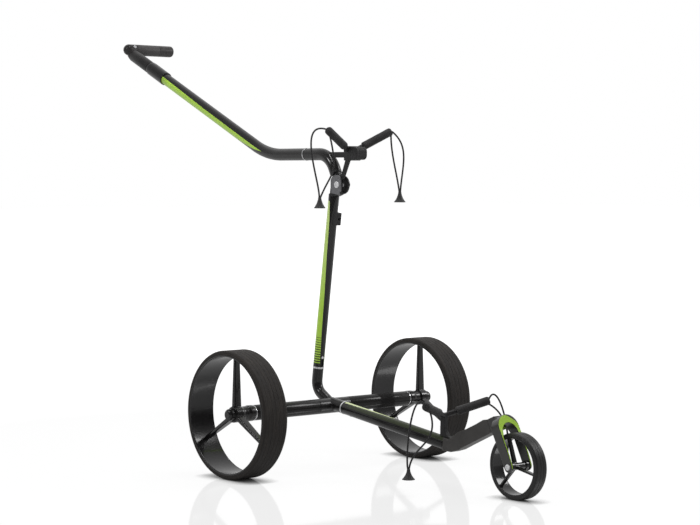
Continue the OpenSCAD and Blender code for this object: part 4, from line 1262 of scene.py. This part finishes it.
tread = tyre_profile(FRONT_RADIUS, width=32, bead=62.75, shoulder=4.5, grooves=2, pitch=8,
                     groove_width=0.8, groove_depth=0.5, seat=14.8)
place(lathe("front_tread", tread, FRONT_WHEEL, 160, sharp=30),
      "front_wheel", "front_tyre_rubber", "tyre", "front_tyre")
barrel_half = [(60.0, -14.0), (59.6, -15.1), (60.2, -15.8), (61.4, -15.9), (62.45, -15.6)]
place(barrel("front_barrel", barrel_half, [0.6, 0.4, 0.4, 0.4, 0], FRONT_WHEEL, 160),
      "front_wheel", "gloss_black", "gloss_black", "front_rim")
hub_half = [(5.0, -20.3), (8.05, -20.3), (8.05, -25.5), (9.2, -25.5), (9.8, -24.8),
            (9.8, -17.4), (7.6, -15.6)]
hub_cuts = [([(0, start), (radius, start), (radius, end), (0, end)], sides)
            for radius, start, end, sides in (
                (5.0, -60, 60, 48), (8.05, -60, -20.4, 64), (8.05, 20.4, 60, 64))]
spoke_frame = FRONT_WHEEL @ Matrix.Translation((0, 0, 8.2))
parts = [spoke((6, 60.6), (6, 4), (12, 11), turn, spoke_frame) for turn in (-6, 114, 234)]
parts.append(lathe("hub", rounded(hub_half + mirror(hub_half), 0.4, 3), FRONT_WHEEL, 64))
place(spider("front_spider", parts, 0.55, 4, hub_cuts, FRONT_WHEEL),
      "front_wheel", "spoke_black", "gloss_black", "front_rim")


# ------------------------------------------------------------------ floor, in metres from here
def floor_material():
    """A near-white glowing floor, with a painted contact shadow that darkens its glow where
    things touch it, and a faint reflection.
    """
    material = bpy.data.materials.new("floor")
    mat = Nodes(material, "OutputMaterial")
    place_on_floor = mat.coords["Object"]
    occlusion = mat.node("AmbientOcclusion", {"Distance": 0.035}, samples=8).outputs["AO"]
    # ambient occlusion darkens the glow near things: a painted contact shadow
    painted_contact_shadow = mat.math("POWER", occlusion, 1.6)
    brightness = 0.955
    # brighter far away, and dimmer as a source of light than to the camera
    far = mat.ramp(mat.vector("LENGTH", place_on_floor), (1.1, 3.2), (1.0, 1.45))
    seen = mat.node("LightPath").outputs["Is Camera Ray"]
    seen = mat.ramp(seen, (0.0, 1.0), (0.42, 1.0))
    glow = mat.node("Emission", {"Strength": mat.mul(painted_contact_shadow, brightness, far, seen)})
    diffuse = mat.node("BsdfDiffuse", {"Color": (0.12, 0.12, 0.12)})
    matte = mat.node("AddShader", {0: diffuse.outputs[0], 1: glow.outputs[0]})
    cloud = mat.noise(scale=3.0, detail=3.0, vector=place_on_floor)
    glossy = mat.node("BsdfGlossy", {"Color": (1, 1, 1),
                                     "Roughness": mat.ramp(cloud, (0.3, 0.7), (0.045, 0.075))})
    reflection = 0.20
    mixed = mat.node("MixShader", {0: reflection, 1: matte.outputs[0], 2: glossy.outputs[0]})
    mat.plug(mat.output, mixed.outputs[0])
    return material


FLOOR_HALF = 30
floor_mesh = bpy.data.meshes.new("floor")
floor_mesh.from_pydata([(x * FLOOR_HALF, y * FLOOR_HALF, 0)
                        for x, y in ((-1, -1), (1, -1), (1, 1), (-1, 1))], [], [(0, 1, 2, 3)])
floor = add_object("floor", floor_mesh)
floor.data.materials.append(floor_material())

# ------------------------------------------------------------------ camera
AZIMUTH, DOWNWARD, ROLL = radians(49.577), radians(2.510), radians(0.134)
CAMERA_PLACE = (3.6521, -2.9893, 0.6834)
view = Vector((-sin(AZIMUTH) * cos(DOWNWARD), cos(AZIMUTH) * cos(DOWNWARD), -sin(DOWNWARD)))
level_right = Vector((cos(AZIMUTH), sin(AZIMUTH), 0))
level_up = level_right.cross(view)
camera_x = level_right * cos(ROLL) + level_up * sin(ROLL)
camera_y = level_up * cos(ROLL) - level_right * sin(ROLL)

camera = add_object("camera", bpy.data.cameras.new("camera"))
camera.data.lens = 102.96
camera.data.sensor_width = 36
camera.data.sensor_fit = "HORIZONTAL"
camera.data.clip_end = 100
rotation = Matrix((camera_x, camera_y, -view)).transposed().to_4x4()
camera.matrix_world = Matrix.Translation(CAMERA_PLACE) @ rotation
bpy.context.scene.camera = camera


# ------------------------------------------------------------------ world and lights
def build_world():
    """White to the camera; to everything else brightest beyond the trolley."""
    world = bpy.data.worlds.new("studio")
    bpy.context.scene.world = world
    sky = Nodes(world, "OutputWorld")
    beyond = sky.vector("DOT_PRODUCT", sky.coords["Generated"], (view.x, view.y, -0.10))
    strength = sky.ramp(beyond, (-0.55, 0.95), (0.05, 0.75), smooth=True)
    lit, seen = (sky.node("Background", {"Color": (1, 1, 1), "Strength": value}).outputs[0]
                 for value in (strength, 1.0))
    camera_ray = sky.node("LightPath").outputs["Is Camera Ray"]
    mixed = sky.node("MixShader", {0: camera_ray, 1: lit, 2: seen})
    sky.plug(sky.output, mixed.outputs[0])


def area(name, location, target, size, power, reflected=True):
    light = bpy.data.lights.new(name, "AREA")
    light.energy, light.size = power, size
    obj = add_object(name, light)
    obj.location = location
    aim = Vector(target) - Vector(location)
    obj.rotation_euler = aim.to_track_quat("-Z", "Y").to_euler()
    obj.visible_glossy = reflected
    return obj


build_world()
area("overhead", (0.2, 0.4, 3.2), target=(0, 0, 0), size=3.0, power=58, reflected=False)
area("fill", (2.9, -2.9, 2.0), target=(0, 0, 0.4), size=2.2, power=46, reflected=False)
area("key", (-0.6, -2.6, 2.4), target=(0, 0, 0.4), size=0.7, power=14)
area("rim", (1.6, 2.4, 2.2), target=(0.1, 0, 0.4), size=0.9, power=18)
strip = area("strip", (0.3, -0.3, 2.9), target=(0.1, 0, 0.4), size=0.10, power=9)
strip.data.shape = "RECTANGLE"
strip.data.size_y = 2.2
unlit = bpy.data.collections.new("not_lit_by_strip")
unlit.objects.link(floor)
unlit.collection_objects[0].light_linking.link_state = "EXCLUDE"
strip.light_linking.receiver_collection = unlit

bpy.context.scene.view_settings.view_transform = "Standard"
bpy.context.scene.view_settings.look = "None"
